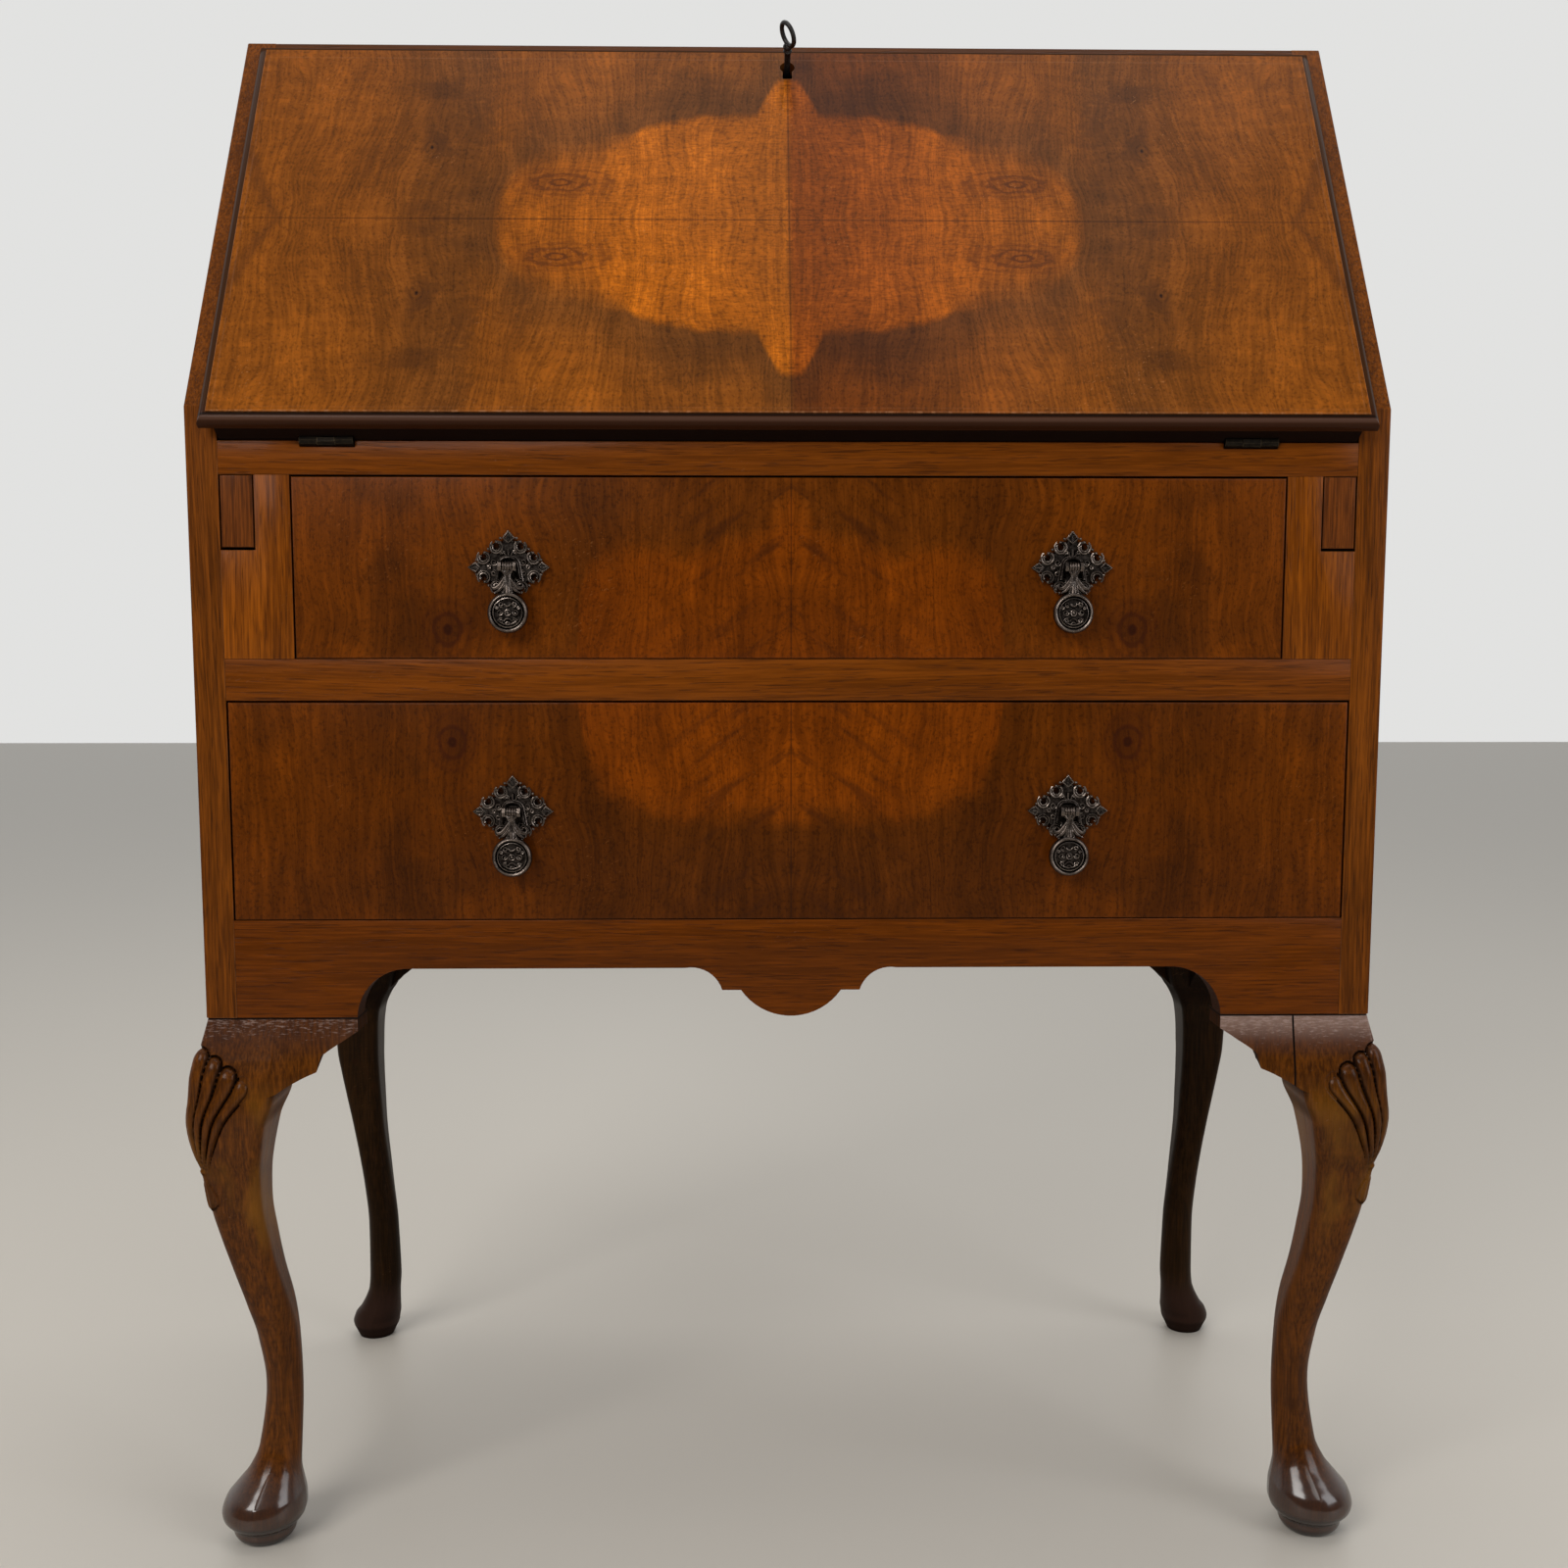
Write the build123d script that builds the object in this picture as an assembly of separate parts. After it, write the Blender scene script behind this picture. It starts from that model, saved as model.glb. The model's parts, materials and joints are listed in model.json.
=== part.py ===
from build123d import *
import math
import os

# Writing bureau: a two-drawer carcass on four cabriole legs, with a sloping fall that opens
# on its lower edge to a level writing surface held by two pull-out lopers.
# Millimetres. X to the right, Y from the front to the back, Z up. While the pieces are made,
# Y is zero on the carcass front and Z is zero on the floor.

# Whole object
WIDTH = 762.0
DEPTH = 380.0
TOP_HEIGHT = 1032.0
LEG_HEIGHT = 366.0
TOP_SETBACK = 160.0

# General clearances and cutting allowance
OVERRUN = 5.0
GLUE_GAP = 0.1
SLIDE_GAP = 0.3

# Flats of a small round piece, in place of a true round
SMALL_SIDES = 8

# Carcass boards
SIDE_THICK = 20.0
TOP_THICK = 19.0
TOP_LAP = 9.0
BACK_THICK = 8.0
BACK_REBATE = 10.0
HOUSING_DEPTH = 6.0
HOUSING_STOP = 12.0

# Front frame, from the apron up
RAIL_DEPTH = 20.0
BACK_RAIL_DEPTH = 12.0
APRON_HEIGHT = 64.0
LOWER_OPENING = 142.0
DIVIDER_THICK = 26.5
DIVIDER_DEPTH = 60.0
UPPER_OPENING = 115.5
STILE_WIDTH = 44.5
WRITING_THICK = 21.0
SHOULDER_ABOVE_BOARD = 21.0

# Apron outline, half of it
APRON_CUT = 32.0
APRON_END_RUN = 35.0
APRON_EAR = 98.0
LOBE_HALF = 32.7
LOBE_DEPTH = 17.3
STEP_WIDTH = 12.3
COVE_RUN = 24.0

# Inside of the carcass
RUNNER_THICK = 20.0
RUNNER_WIDTH = 70.0
LOWER_RUNNER_WIDTH = 30.0
DUST_THICK = 6.0
DUST_GROOVE = 8.0
STOP_LENGTH = 40.0
STOP_DEPTH = 12.0
STOP_HEIGHT = 5.0
STOP_OFFSET = 150.0
LOWER_STOP_HEIGHT = 18.0
CORNER_BLOCK = 45.0

# Lopers
LOPER_WIDTH = 20.4
LOPER_HEIGHT = 45.0
LOPER_LENGTH = 300.0
LOPER_TRAVEL = 235.0
LOPER_SIDE_GAP = 0.8
LOPER_TOP_GAP = 0.3
LOPER_DROP_GAP = 1.7
PARTITION_THICK = 20.0
BEARER_THICK = 20.0
PEG_RADIUS = 4.0
PEG_REACH = 12.0
PEG_SINK = 14.0
PEG_INSET = 20.0
PEG_GAP = 0.5

# Legs
POST = 45.0
KNEE_BLOCK_REACH = 98.0
KNEE_BLOCK_THICK = 26.0
TENON_RADIUS = 10.0
TENON_LENGTH = 28.0
TENON_INSET = 33.0
LEG_CORNER_SIDES = 3
# Stations down the leg: share of its height; the distance of the section's centre from the
# carcass corner and the section's width, as shares of the post; then the rounding of the
# outer corner and of the other three, as shares of half the width
LEG_STATION_SHARES = (
    (1.0, 0.500, 1.000, 0.06, 0.04),
    (0.937, 0.442, 1.124, 0.18, 0.04),
    (0.921, 0.393, 1.211, 0.22, 0.05),
    (0.891, 0.342, 1.227, 0.27, 0.06),
    (0.852, 0.289, 1.176, 0.33, 0.08),
    (0.803, 0.247, 1.080, 0.38, 0.10),
    (0.754, 0.247, 0.982, 0.43, 0.13),
    (0.705, 0.280, 0.844, 0.48, 0.17),
    (0.650, 0.316, 0.764, 0.54, 0.22),
    (0.590, 0.387, 0.720, 0.60, 0.30),
    (0.519, 0.489, 0.676, 0.70, 0.45),
    (0.451, 0.602, 0.662, 0.82, 0.65),
    (0.383, 0.689, 0.609, 0.95, 0.90),
    (0.290, 0.738, 0.542, 0.96, 0.96),
    (0.169, 0.667, 0.631, 0.96, 0.96),
    (0.131, 0.600, 0.767, 0.96, 0.96),
    (0.104, 0.533, 1.000, 0.96, 0.96),
    (0.082, 0.484, 1.189, 0.96, 0.96),
    (0.060, 0.458, 1.249, 0.96, 0.96),
    (0.036, 0.440, 1.056, 0.96, 0.96),
    (0.0135, 0.456, 0.689, 0.96, 0.96),
    (0.0, 0.456, 0.689, 0.96, 0.96),
)
# Knee block outline: share of its reach beyond the post, and share of its drop
KNEE_BLOCK_DROP = 84.0
KNEE_BLOCK_ROOT = 22.0
KNEE_BLOCK_SHARES = (
    (1.0, 0.18),
    (0.83, 0.27),
    (0.65, 0.345),
    (0.60, 0.42),
    (0.55, 0.495),
    (0.38, 0.535),
    (0.23, 0.595),
    (0.11, 0.70),
    (0.0, 0.86),
    (-0.17, 1.0),
)
# Swell of a knee block's outer face: share of its drop, share of the knee's swell
KNEE_FACE_SHARES = ((0.0, 0.0), (0.18, 0.13), (0.28, 0.45), (0.36, 0.75), (0.50, 0.95), (1.0, 1.0))

# Fall: its board fits between the sides, and its lips lap them and the top
FALL_FOOT_GAP = 0.5
FALL_SIDE_GAP = 1.5
FALL_HEAD_GAP = 3.2
SIDE_LAP = 8.0
HEAD_LAP = 13.5
LIP_GAP = 0.3
LIP_THICK = 9.7
FOOT_STRIP = 10.0
MOULD_WIDTH = 5.2
QUIRK = 1.2
QUIRK_FLAT = 0.8

# Fall hinges
HINGE_INSET = 67.5
HINGE_LENGTH = 34.0
HINGE_LEAF = 26.0
LEAF_THICK = 1.8
BARREL_RADIUS = 3.3
PIN_RADIUS = 1.5
PIN_GAP = 0.05
KNUCKLE_GAP = 0.3
BARREL_GAP = 0.4
KNUCKLES = 3
SCREW_HEAD_RADIUS = 2.6
SCREW_HEAD_THICK = 1.2
SCREW_RADIUS = 1.3
SCREW_LENGTH = 11.0
SCREW_PITCH = 10.0
SCREW_INSET = 17.0

# Lock and key
KEY_DROP = 7.0
KEYHOLE_RADIUS = 5.2
KEYHOLE_SIDES = 16
KEYHOLE_SLOT_HALF = 3.3
KEYHOLE_SLOT_DROP = 11.0
CASE_HALF = 22.0
CASE_LENGTH = 30.0
CASE_THICK = 11.0
BOLT_HALF = 9.0
BOLT_LENGTH = 23.0
BOLT_THICK = 3.0
BOLT_LOW = 4.0
BOLT_GAP = 0.3
BOLT_THROW = 8.0
BOLT_TIP_INSET = 0.3
CHAMBER_RADIUS = 6.2
CHAMBER_DEPTH = 2.4
BIT_REACH = 5.5
BIT_THICK = 2.2
BIT_WIDTH = 1.6
BIT_CLEAR = 0.4
KEY_RADIUS = 2.0
KEY_PROUD = 26.0
BOW_RADIUS = 8.6
BOW_WIRE = 1.6
BOW_SIDES = 12
BOW_TURN = 55.0
COLLAR_RADIUS = 3.0
COLLAR_LENGTH = 3.0

# Drawers
FRONT_THICK = 20.0
DRAWER_SIDE_GAP = 1.0
DRAWER_TOP_GAP = 1.2
DRAWER_FOOT_GAP = 0.4
DRAWER_REAR_GAP = 15.0
DRAWER_SIDE_THICK = 11.0
DRAWER_BACK_THICK = 11.0
DRAWER_BACK_DROP = 12.0
DRAWER_BOTTOM_THICK = 5.0
DRAWER_BOTTOM_RISE = 9.0
DRAWER_GROOVE = 5.0
DOVETAIL_LAP = 6.0
DOVETAIL_SLOPE = 2.2
DOVETAIL_PIN = 12.0
UPPER_TAILS = 3
LOWER_TAILS = 4

# Pulls
PULL_INSET = 137.5
PLATE_HALF_WIDTH = 25.8
PLATE_HALF_HEIGHT = 22.9
PLATE_THICK = 2.4
PLATE_LATTICE_SHARE = 0.80
RING_RADIUS = 4.4
RING_HOLE = 2.4
RING_HOLE_SIDES = 6
# Places of the rings, as shares of the plate's half width and half height
RING_SHARES = ((0.295, 0.57), (0.62, 0.28))
TIP_HALF = 3.6
TIP_LENGTH = 8.0
EYE_HALF = 5.6
EYE_CHEEK = 1.8
EYE_RADIUS = 3.6
PIVOT_OUT = 9.0
PIVOT_PIN_RADIUS = 1.2
PIVOT_GAP = 0.08
POST_RADIUS = 3.0
NUT_RADIUS = 6.0
NUT_THICK = 4.0
NUT_SIDES = 6
DROP_KNUCKLE_RADIUS = 3.2
DROP_KNUCKLE_HALF = 3.3
DROP_DISC_RADIUS = 12.9
DROP_DISC_THICK = 6.0
DISC_SIDES = 18
DROP_DISC_BELOW = 28.8
DROP_RIM_WIDTH = 2.2
DROP_RIM_DEPTH = 1.6
DROP_NECK_THICK = 5.0
DROP_SHOULDER_HALF = 8.2
DROP_NECK_HALF = 2.8

# Pigeonholes and small drawers behind the fall
NEST_BEHIND_TOP = 26.0
NEST_BOARD = 8.0
NEST_DIVIDER = 6.0
NEST_DRAWER_BAY = 60.0
NEST_CENTRE_HALF = 118.0
# Divider places, as shares of half the inside, so that all the pigeonholes are alike
NEST_DIVIDER_SHARES = (0.2, 0.6)
VALANCE_HEIGHT = 30.0
VALANCE_RISE = 18.0
NEST_DRAWER_GAP = 0.8
NEST_FRONT_THICK = 9.0
NEST_WALL = 6.0
NEST_BOTTOM = 4.0
NEST_DRAWER_REAR_GAP = 8.0
KNOB_RADIUS = 7.0
KNOB_LENGTH = 12.0
KNOB_NECK_RADIUS = 3.0
KNOB_SPIGOT = 6.0
# Turned shape of a knob: share of its length, share of its swell over the neck
KNOB_SHARES = ((0.2, 0.0), (0.45, 0.9), (0.65, 1.0), (0.85, 0.75), (1.0, 0.1))

# Sizes that follow from the ones above
INNER_HALF = WIDTH / 2 - SIDE_THICK
UPPER_HALF_OPENING = INNER_HALF - STILE_WIDTH
LOWER_FLOOR = LEG_HEIGHT + APRON_HEIGHT
LOWER_CEILING = LOWER_FLOOR + LOWER_OPENING
UPPER_FLOOR = LOWER_CEILING + DIVIDER_THICK
WRITING_UNDER = UPPER_FLOOR + UPPER_OPENING
WRITING_TOP = WRITING_UNDER + WRITING_THICK
SHOULDER_HEIGHT = WRITING_TOP + SHOULDER_ABOVE_BOARD
BACK_FACE = DEPTH - BACK_THICK
BACK_RAIL_FACE = BACK_FACE - BACK_RAIL_DEPTH
DRAWER_LENGTH = BACK_RAIL_FACE - DRAWER_REAR_GAP
TOP_UNDER = TOP_HEIGHT - TOP_THICK

# The slope: its angle, the run of the top board's front edge, and that edge's lower corner,
# as a distance up the fall from the hinge axis
SLOPE_RISE = TOP_HEIGHT - SHOULDER_HEIGHT
SLOPE_ANGLE = math.atan2(SLOPE_RISE, TOP_SETBACK)
SLOPE = math.degrees(SLOPE_ANGLE)
TOP_EDGE_RUN = TOP_THICK / math.tan(SLOPE_ANGLE)
TOP_CORNER_ALONG = (TOP_SETBACK - TOP_EDGE_RUN) * math.cos(SLOPE_ANGLE) + (
    TOP_UNDER - WRITING_TOP
) * math.sin(SLOPE_ANGLE)
LIP_BACK = SHOULDER_ABOVE_BOARD * math.cos(SLOPE_ANGLE) + LIP_GAP
FALL_THICK = LIP_BACK + LIP_THICK
FALL_PANEL_HALF = INNER_HALF - FALL_SIDE_GAP
FALL_PANEL_LENGTH = TOP_CORNER_ALONG - FALL_HEAD_GAP
FALL_HALF = INNER_HALF + SIDE_LAP
FALL_LENGTH = FALL_PANEL_LENGTH + HEAD_LAP
HINGE_OFFSET = FALL_PANEL_HALF - HINGE_INSET
KEY_HEIGHT = FALL_PANEL_LENGTH - KEY_DROP

LOPER_TOP = WRITING_UNDER - LOPER_TOP_GAP
LOPER_FLOOR = LOPER_TOP - LOPER_HEIGHT
NOTCH_FLOOR = LOPER_FLOOR - LOPER_DROP_GAP
LOPER_OUT = INNER_HALF - LOPER_SIDE_GAP
LOPER_IN = LOPER_OUT - LOPER_WIDTH
NOTCH_IN = LOPER_IN - LOPER_SIDE_GAP
PARTITION_IN = NOTCH_IN - PARTITION_THICK
NEST_HALF = INNER_HALF - GLUE_GAP
NEST_SETBACK = TOP_SETBACK + NEST_BEHIND_TOP
NEST_DRAWER_LENGTH = BACK_FACE - NEST_SETBACK - NEST_DRAWER_REAR_GAP
NEST_SHELF_UNDER = WRITING_TOP + NEST_DRAWER_BAY
NEST_SHELF_TOP = NEST_SHELF_UNDER + NEST_BOARD
NEST_DRAWER_HIGH = NEST_DRAWER_BAY - 2 * NEST_DRAWER_GAP
PULL_OFFSET = UPPER_HALF_OPENING - PULL_INSET
PULL_HEIGHTS = (UPPER_FLOOR + UPPER_OPENING / 2, LOWER_FLOOR + LOWER_OPENING / 2)
CASE_FOOT = FALL_PANEL_LENGTH - CASE_LENGTH
BOLT_TIP = FALL_PANEL_LENGTH - BOLT_TIP_INSET
CHAMBER_LOW = BOLT_LOW + BOLT_THICK + BOLT_GAP


def block(x0, x1, y0, y1, z0, z1):
    """A board between two opposite corners."""
    centre = Pos((x0 + x1) / 2, (y0 + y1) / 2, (z0 + z1) / 2)
    return centre * Box(abs(x1 - x0), abs(y1 - y0), abs(z1 - z0))


def rod(radius, start, end, sides=SMALL_SIDES):
    """A bar with flats from one point to another, inside the given radius."""
    run = Vector(*end) - Vector(*start)
    plane = Plane(origin=start, z_dir=run)
    return extrude(plane * RegularPolygon(radius, sides), run.length)


def bore(radius, start, end, sides=SMALL_SIDES):
    """The space for such a bar, with its flats outside the given radius."""
    return rod(radius / math.cos(math.pi / sides), start, end, sides)


def flat_loft(rings):
    """A solid with flat faces between rings of points whose matching sides are parallel."""
    faces = [outline(rings[0]), outline(rings[-1])]
    for ring, after in zip(rings, rings[1:]):
        for index, corner in enumerate(ring):
            beside = (index + 1) % len(ring)
            faces.append(outline([corner, ring[beside], after[beside], after[index]]))
    return Solid(Shell([sketch.faces()[0] for sketch in faces]))


def turned(stations, sides=SMALL_SIDES):
    """A turned piece along Z with flats, through pairs of height and radius."""
    turns = [2 * math.pi * index / sides for index in range(sides)]
    return flat_loft(
        [
            [(radius * math.cos(turn), radius * math.sin(turn), height) for turn in turns]
            for height, radius in stations
        ]
    )


def flip(shape):
    """The same piece on the other side of the bureau."""
    return mirror(shape, about=Plane.YZ)


def back_to_front(shape):
    """The same piece at the other end of the carcass depth."""
    return mirror(shape, about=Plane.XZ.offset(-DEPTH / 2))


def on_fall(shape):
    """Takes a piece of the fall from its own flat frame to the closed fall.

    There X is across, Y runs up the slope from the hinge axis and Z points out of the face.
    """
    return Pos(0, 0, WRITING_TOP) * Rot(SLOPE, 0, 0) * shape


def outline(points):
    """A flat face from a closed run of points."""
    return make_face(Polyline(*points, close=True))


def across(face, x0, x1):
    """A board from a face drawn as depth and height, between two places across the width."""
    plane = Plane(origin=(x0, 0, 0), x_dir=(0, 1, 0), z_dir=(1, 0, 0))
    return extrude(plane * face, x1 - x0)


def through(face, y0, y1):
    """A board from a face drawn as width and height, between two depths."""
    plane = Plane(origin=(0, y0, 0), x_dir=(1, 0, 0), z_dir=(0, -1, 0))
    return extrude(plane * face, y0 - y1)


def side_board():
    """Right-hand side: sloped front corner, rebate for the back, housing for the board."""
    shape = outline(
        [
            (0, LEG_HEIGHT),
            (DEPTH, LEG_HEIGHT),
            (DEPTH, TOP_HEIGHT),
            (TOP_SETBACK, TOP_HEIGHT),
            (0, SHOULDER_HEIGHT),
        ]
    )
    board = across(shape, INNER_HALF, WIDTH / 2)
    rebate = block(
        INNER_HALF - OVERRUN,
        INNER_HALF + BACK_REBATE,
        BACK_FACE,
        DEPTH + OVERRUN,
        LEG_HEIGHT - OVERRUN,
        TOP_HEIGHT - TOP_LAP,
    )
    housing = block(
        INNER_HALF - OVERRUN,
        INNER_HALF + HOUSING_DEPTH,
        HOUSING_STOP,
        BACK_FACE,
        WRITING_UNDER,
        WRITING_TOP,
    )
    return board - rebate - housing


def top_board():
    """Top between the sides, its front edge bevelled to the slope, with the bolt's pocket."""
    shape = outline(
        [
            (TOP_SETBACK - TOP_EDGE_RUN, TOP_UNDER),
            (BACK_FACE, TOP_UNDER),
            (BACK_FACE, TOP_HEIGHT - TOP_LAP),
            (DEPTH, TOP_HEIGHT - TOP_LAP),
            (DEPTH, TOP_HEIGHT),
            (TOP_SETBACK, TOP_HEIGHT),
        ]
    )
    board = across(shape, -INNER_HALF, INNER_HALF)
    pocket = block(
        -BOLT_HALF - 2 * BOLT_GAP,
        BOLT_HALF + 2 * BOLT_GAP,
        FALL_PANEL_LENGTH,
        BOLT_TIP + BOLT_THROW + BOLT_THICK / 2,
        BOLT_LOW - 2 * BOLT_GAP,
        BOLT_LOW + BOLT_THICK + 2 * BOLT_GAP,
    )
    return board - on_fall(pocket)


def writing_board():
    """Fixed part of the writing surface, tongued into the sides, recessed for the hinges."""
    board = block(-INNER_HALF, INNER_HALF, 0, BACK_FACE, WRITING_UNDER, WRITING_TOP)
    tongue_half = INNER_HALF + HOUSING_DEPTH
    board += block(-tongue_half, tongue_half, HOUSING_STOP, BACK_FACE, WRITING_UNDER, WRITING_TOP)
    for place in (-HINGE_OFFSET, HINGE_OFFSET):
        half = HINGE_LENGTH / 2
        board -= block(
            place - half,
            place + half,
            -OVERRUN,
            HINGE_LEAF,
            WRITING_TOP - LEAF_THICK,
            WRITING_TOP + OVERRUN,
        )
        board -= bore(
            BARREL_RADIUS + BARREL_GAP,
            (place - half - KNUCKLE_GAP, 0, WRITING_TOP),
            (place + half + KNUCKLE_GAP, 0, WRITING_TOP),
        )
        for x, y in screw_places():
            board -= Pos(place, 0, WRITING_TOP) * screw_hole(x, y)
    return board


def apron_rail():
    """Bottom front rail, shaped below with a centre lobe, steps, coves and quarter rounds."""
    foot = LEG_HEIGHT
    flat = foot + APRON_CUT
    step = foot + LOBE_DEPTH
    lobe_in = LOBE_HALF
    step_out = LOBE_HALF + STEP_WIDTH
    cove_out = step_out + COVE_RUN
    end_out = WIDTH / 2 - APRON_EAR
    end_in = end_out - APRON_END_RUN
    edges = []
    for side in (-1, 1):
        edges.append(Line((side * INNER_HALF, LOWER_FLOOR), (side * INNER_HALF, foot)))
        edges.append(Line((side * INNER_HALF, foot), (side * end_out, foot)))
        corner = Vector(side * end_in, foot)
        edges.append(quarter(corner, side * APRON_END_RUN, APRON_CUT))
        edges.append(Line((side * end_in, flat), (side * cove_out, flat)))
        corner = Vector(side * cove_out, step)
        edges.append(quarter(corner, -side * COVE_RUN, flat - step))
        edges.append(Line((side * step_out, step), (side * lobe_in, step)))
    edges.append(ThreePointArc((-lobe_in, step), (0, foot), (lobe_in, step)))
    edges.append(Line((-INNER_HALF, LOWER_FLOOR), (INNER_HALF, LOWER_FLOOR)))
    return through(make_face(edges), 0, RAIL_DEPTH)


def quarter(corner, run, rise):
    """Quarter of an ellipse about a corner, from beside it to above it."""
    middle = math.sqrt(0.5)
    return ThreePointArc(
        corner + Vector(run, 0),
        corner + Vector(run * middle, rise * middle),
        corner + Vector(0, rise),
    )


def divider_rail():
    """Rail between the drawers, grooved behind for the dust board."""
    rail = block(-INNER_HALF, INNER_HALF, 0, DIVIDER_DEPTH, LOWER_CEILING, UPPER_FLOOR)
    groove = block(
        -dust_half(),
        dust_half(),
        DIVIDER_DEPTH - DUST_GROOVE,
        DIVIDER_DEPTH + OVERRUN,
        dust_floor(),
        dust_floor() + DUST_THICK,
    )
    return rail - groove


def dust_half():
    return INNER_HALF - RUNNER_WIDTH + DUST_GROOVE


def dust_floor():
    return UPPER_FLOOR - RUNNER_THICK / 2 - DUST_THICK / 2


def dust_board():
    """Thin panel that closes the space between the two drawers."""
    return block(
        -dust_half(),
        dust_half(),
        DIVIDER_DEPTH - DUST_GROOVE,
        BACK_FACE,
        dust_floor(),
        dust_floor() + DUST_THICK,
    )


def upper_runner():
    """Right-hand runner of the upper drawer, which also carries the loper partition."""
    runner = block(
        INNER_HALF - RUNNER_WIDTH,
        INNER_HALF,
        DIVIDER_DEPTH,
        BACK_FACE,
        UPPER_FLOOR - RUNNER_THICK,
        UPPER_FLOOR,
    )
    return runner - dust_board()


def lower_runner():
    """Right-hand runner of the lower drawer, between the apron and the back rail."""
    return block(
        INNER_HALF - LOWER_RUNNER_WIDTH,
        INNER_HALF,
        RAIL_DEPTH,
        BACK_RAIL_FACE,
        LOWER_FLOOR - RUNNER_THICK,
        LOWER_FLOOR,
    )


def back_rail():
    """Straight rail under the back, between the sides."""
    return block(-INNER_HALF, INNER_HALF, BACK_RAIL_FACE, BACK_FACE, LEG_HEIGHT, LOWER_FLOOR)


def back_panel():
    """Thin back in the rebates of the sides and the top."""
    half = INNER_HALF + BACK_REBATE
    return block(-half, half, BACK_FACE, DEPTH, LEG_HEIGHT, TOP_HEIGHT - TOP_LAP)


def corner_block():
    """Block behind the front right corner that the leg's tenon is glued into."""
    piece = block(
        INNER_HALF - CORNER_BLOCK,
        INNER_HALF,
        RAIL_DEPTH,
        RAIL_DEPTH + CORNER_BLOCK,
        LEG_HEIGHT,
        LOWER_FLOOR - RUNNER_THICK,
    )
    return piece - leg_tenon(GLUE_GAP)


def rear_corner_block():
    """The same block in the rear right corner, in front of the back rail."""
    piece = block(
        INNER_HALF - CORNER_BLOCK,
        INNER_HALF,
        BACK_RAIL_FACE - CORNER_BLOCK,
        BACK_RAIL_FACE,
        LEG_HEIGHT,
        LOWER_FLOOR - RUNNER_THICK,
    )
    return piece - back_to_front(leg_tenon(GLUE_GAP))


def leg_tenon(extra=0.0):
    """Turned tenon that stands up from a leg."""
    x = WIDTH / 2 - TENON_INSET
    return rod(
        TENON_RADIUS + extra,
        (x, TENON_INSET, LEG_HEIGHT - OVERRUN),
        (x, TENON_INSET, LEG_HEIGHT + TENON_LENGTH + extra),
    )


def leg_section(height, centre, width, outer, inner):
    """Corners of a section across the leg: a square whose outer corner has its own rounding.

    Each rounding is a few flats that keep their directions from section to section.
    """
    half = width / 2
    quadrants = ((1, 1, inner), (-1, 1, inner), (-1, -1, inner), (1, -1, outer))
    points = []
    for index, (side_x, side_y, rounding) in enumerate(quadrants):
        radius = half * rounding
        for step in range(LEG_CORNER_SIDES + 1):
            angle = math.pi / 2 * (index + step / LEG_CORNER_SIDES)
            x = side_x * (half - radius) + radius * math.cos(angle)
            y = side_y * (half - radius) + radius * math.sin(angle)
            points.append((WIDTH / 2 - centre + x, centre + y, height))
    return points


def leg():
    """Front right cabriole leg: square post, knee, ankle, pad foot and its low disc."""
    sections = []
    for level, centre, width, outer, inner in LEG_STATION_SHARES:
        sections.append(
            leg_section(level * LEG_HEIGHT, centre * POST, width * POST, outer, inner)
        )
    return flat_loft(sections) + leg_tenon()


def knee_face(x, bulge):
    """Corners of an upright section of a knee block, swelling from the carcass to the knee."""
    drop = KNEE_BLOCK_DROP + OVERRUN
    points = [(x, KNEE_BLOCK_THICK, LEG_HEIGHT), (x, KNEE_BLOCK_THICK, LEG_HEIGHT - drop)]
    for down, out in reversed(KNEE_FACE_SHARES):
        points.append((x, -out * bulge, LEG_HEIGHT - down * drop))
    return points


def knee_block():
    """Shaped block along the front, fitted to the right front leg and drawn out beside it."""
    post_in = WIDTH / 2 - POST
    tip = WIDTH / 2 - KNEE_BLOCK_REACH
    root = post_in + KNEE_BLOCK_ROOT
    reach = post_in - tip
    points = [(root, LEG_HEIGHT), (tip, LEG_HEIGHT)]
    for share, down in KNEE_BLOCK_SHARES:
        points.append((post_in - share * reach, LEG_HEIGHT - down * KNEE_BLOCK_DROP))
    points.append((root, LEG_HEIGHT - KNEE_BLOCK_DROP))
    blank = through(outline(points), -POST, POST)
    swell = max(row[2] / 2 - row[1] for row in LEG_STATION_SHARES) * POST
    form = loft([outline(knee_face(root, swell)), outline(knee_face(tip, GLUE_GAP))], ruled=True)
    return largest((blank & form) - leg())


def largest(shape):
    """The biggest solid of a cut piece, without the slivers that a carved joint leaves."""
    return max(shape.solids(), key=lambda solid: solid.volume)


def knee_blocks():
    """Both blocks of the front right leg: along the front and along the side."""
    front = knee_block()
    corner = WIDTH / 2
    # Swap the front and side directions about the carcass corner
    side = mirror(Pos(-corner, 0, 0) * front, about=Plane(origin=(0, 0, 0), z_dir=(1, 1, 0)))
    side = Pos(corner, 0, 0) * side
    return [front, side]


def loper_stile():
    """Upright right of the upper drawer, notched at its outer top corner for the loper."""
    piece = block(
        UPPER_HALF_OPENING, INNER_HALF, 0, RAIL_DEPTH, UPPER_FLOOR, WRITING_UNDER
    )
    notch = block(
        NOTCH_IN,
        INNER_HALF + OVERRUN,
        -OVERRUN,
        RAIL_DEPTH + OVERRUN,
        NOTCH_FLOOR,
        WRITING_UNDER + OVERRUN,
    )
    return piece - notch


def loper_partition():
    """Upright board between the upper drawer and the right loper."""
    return block(PARTITION_IN, NOTCH_IN, RAIL_DEPTH, BACK_FACE, UPPER_FLOOR, WRITING_UNDER)


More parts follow.
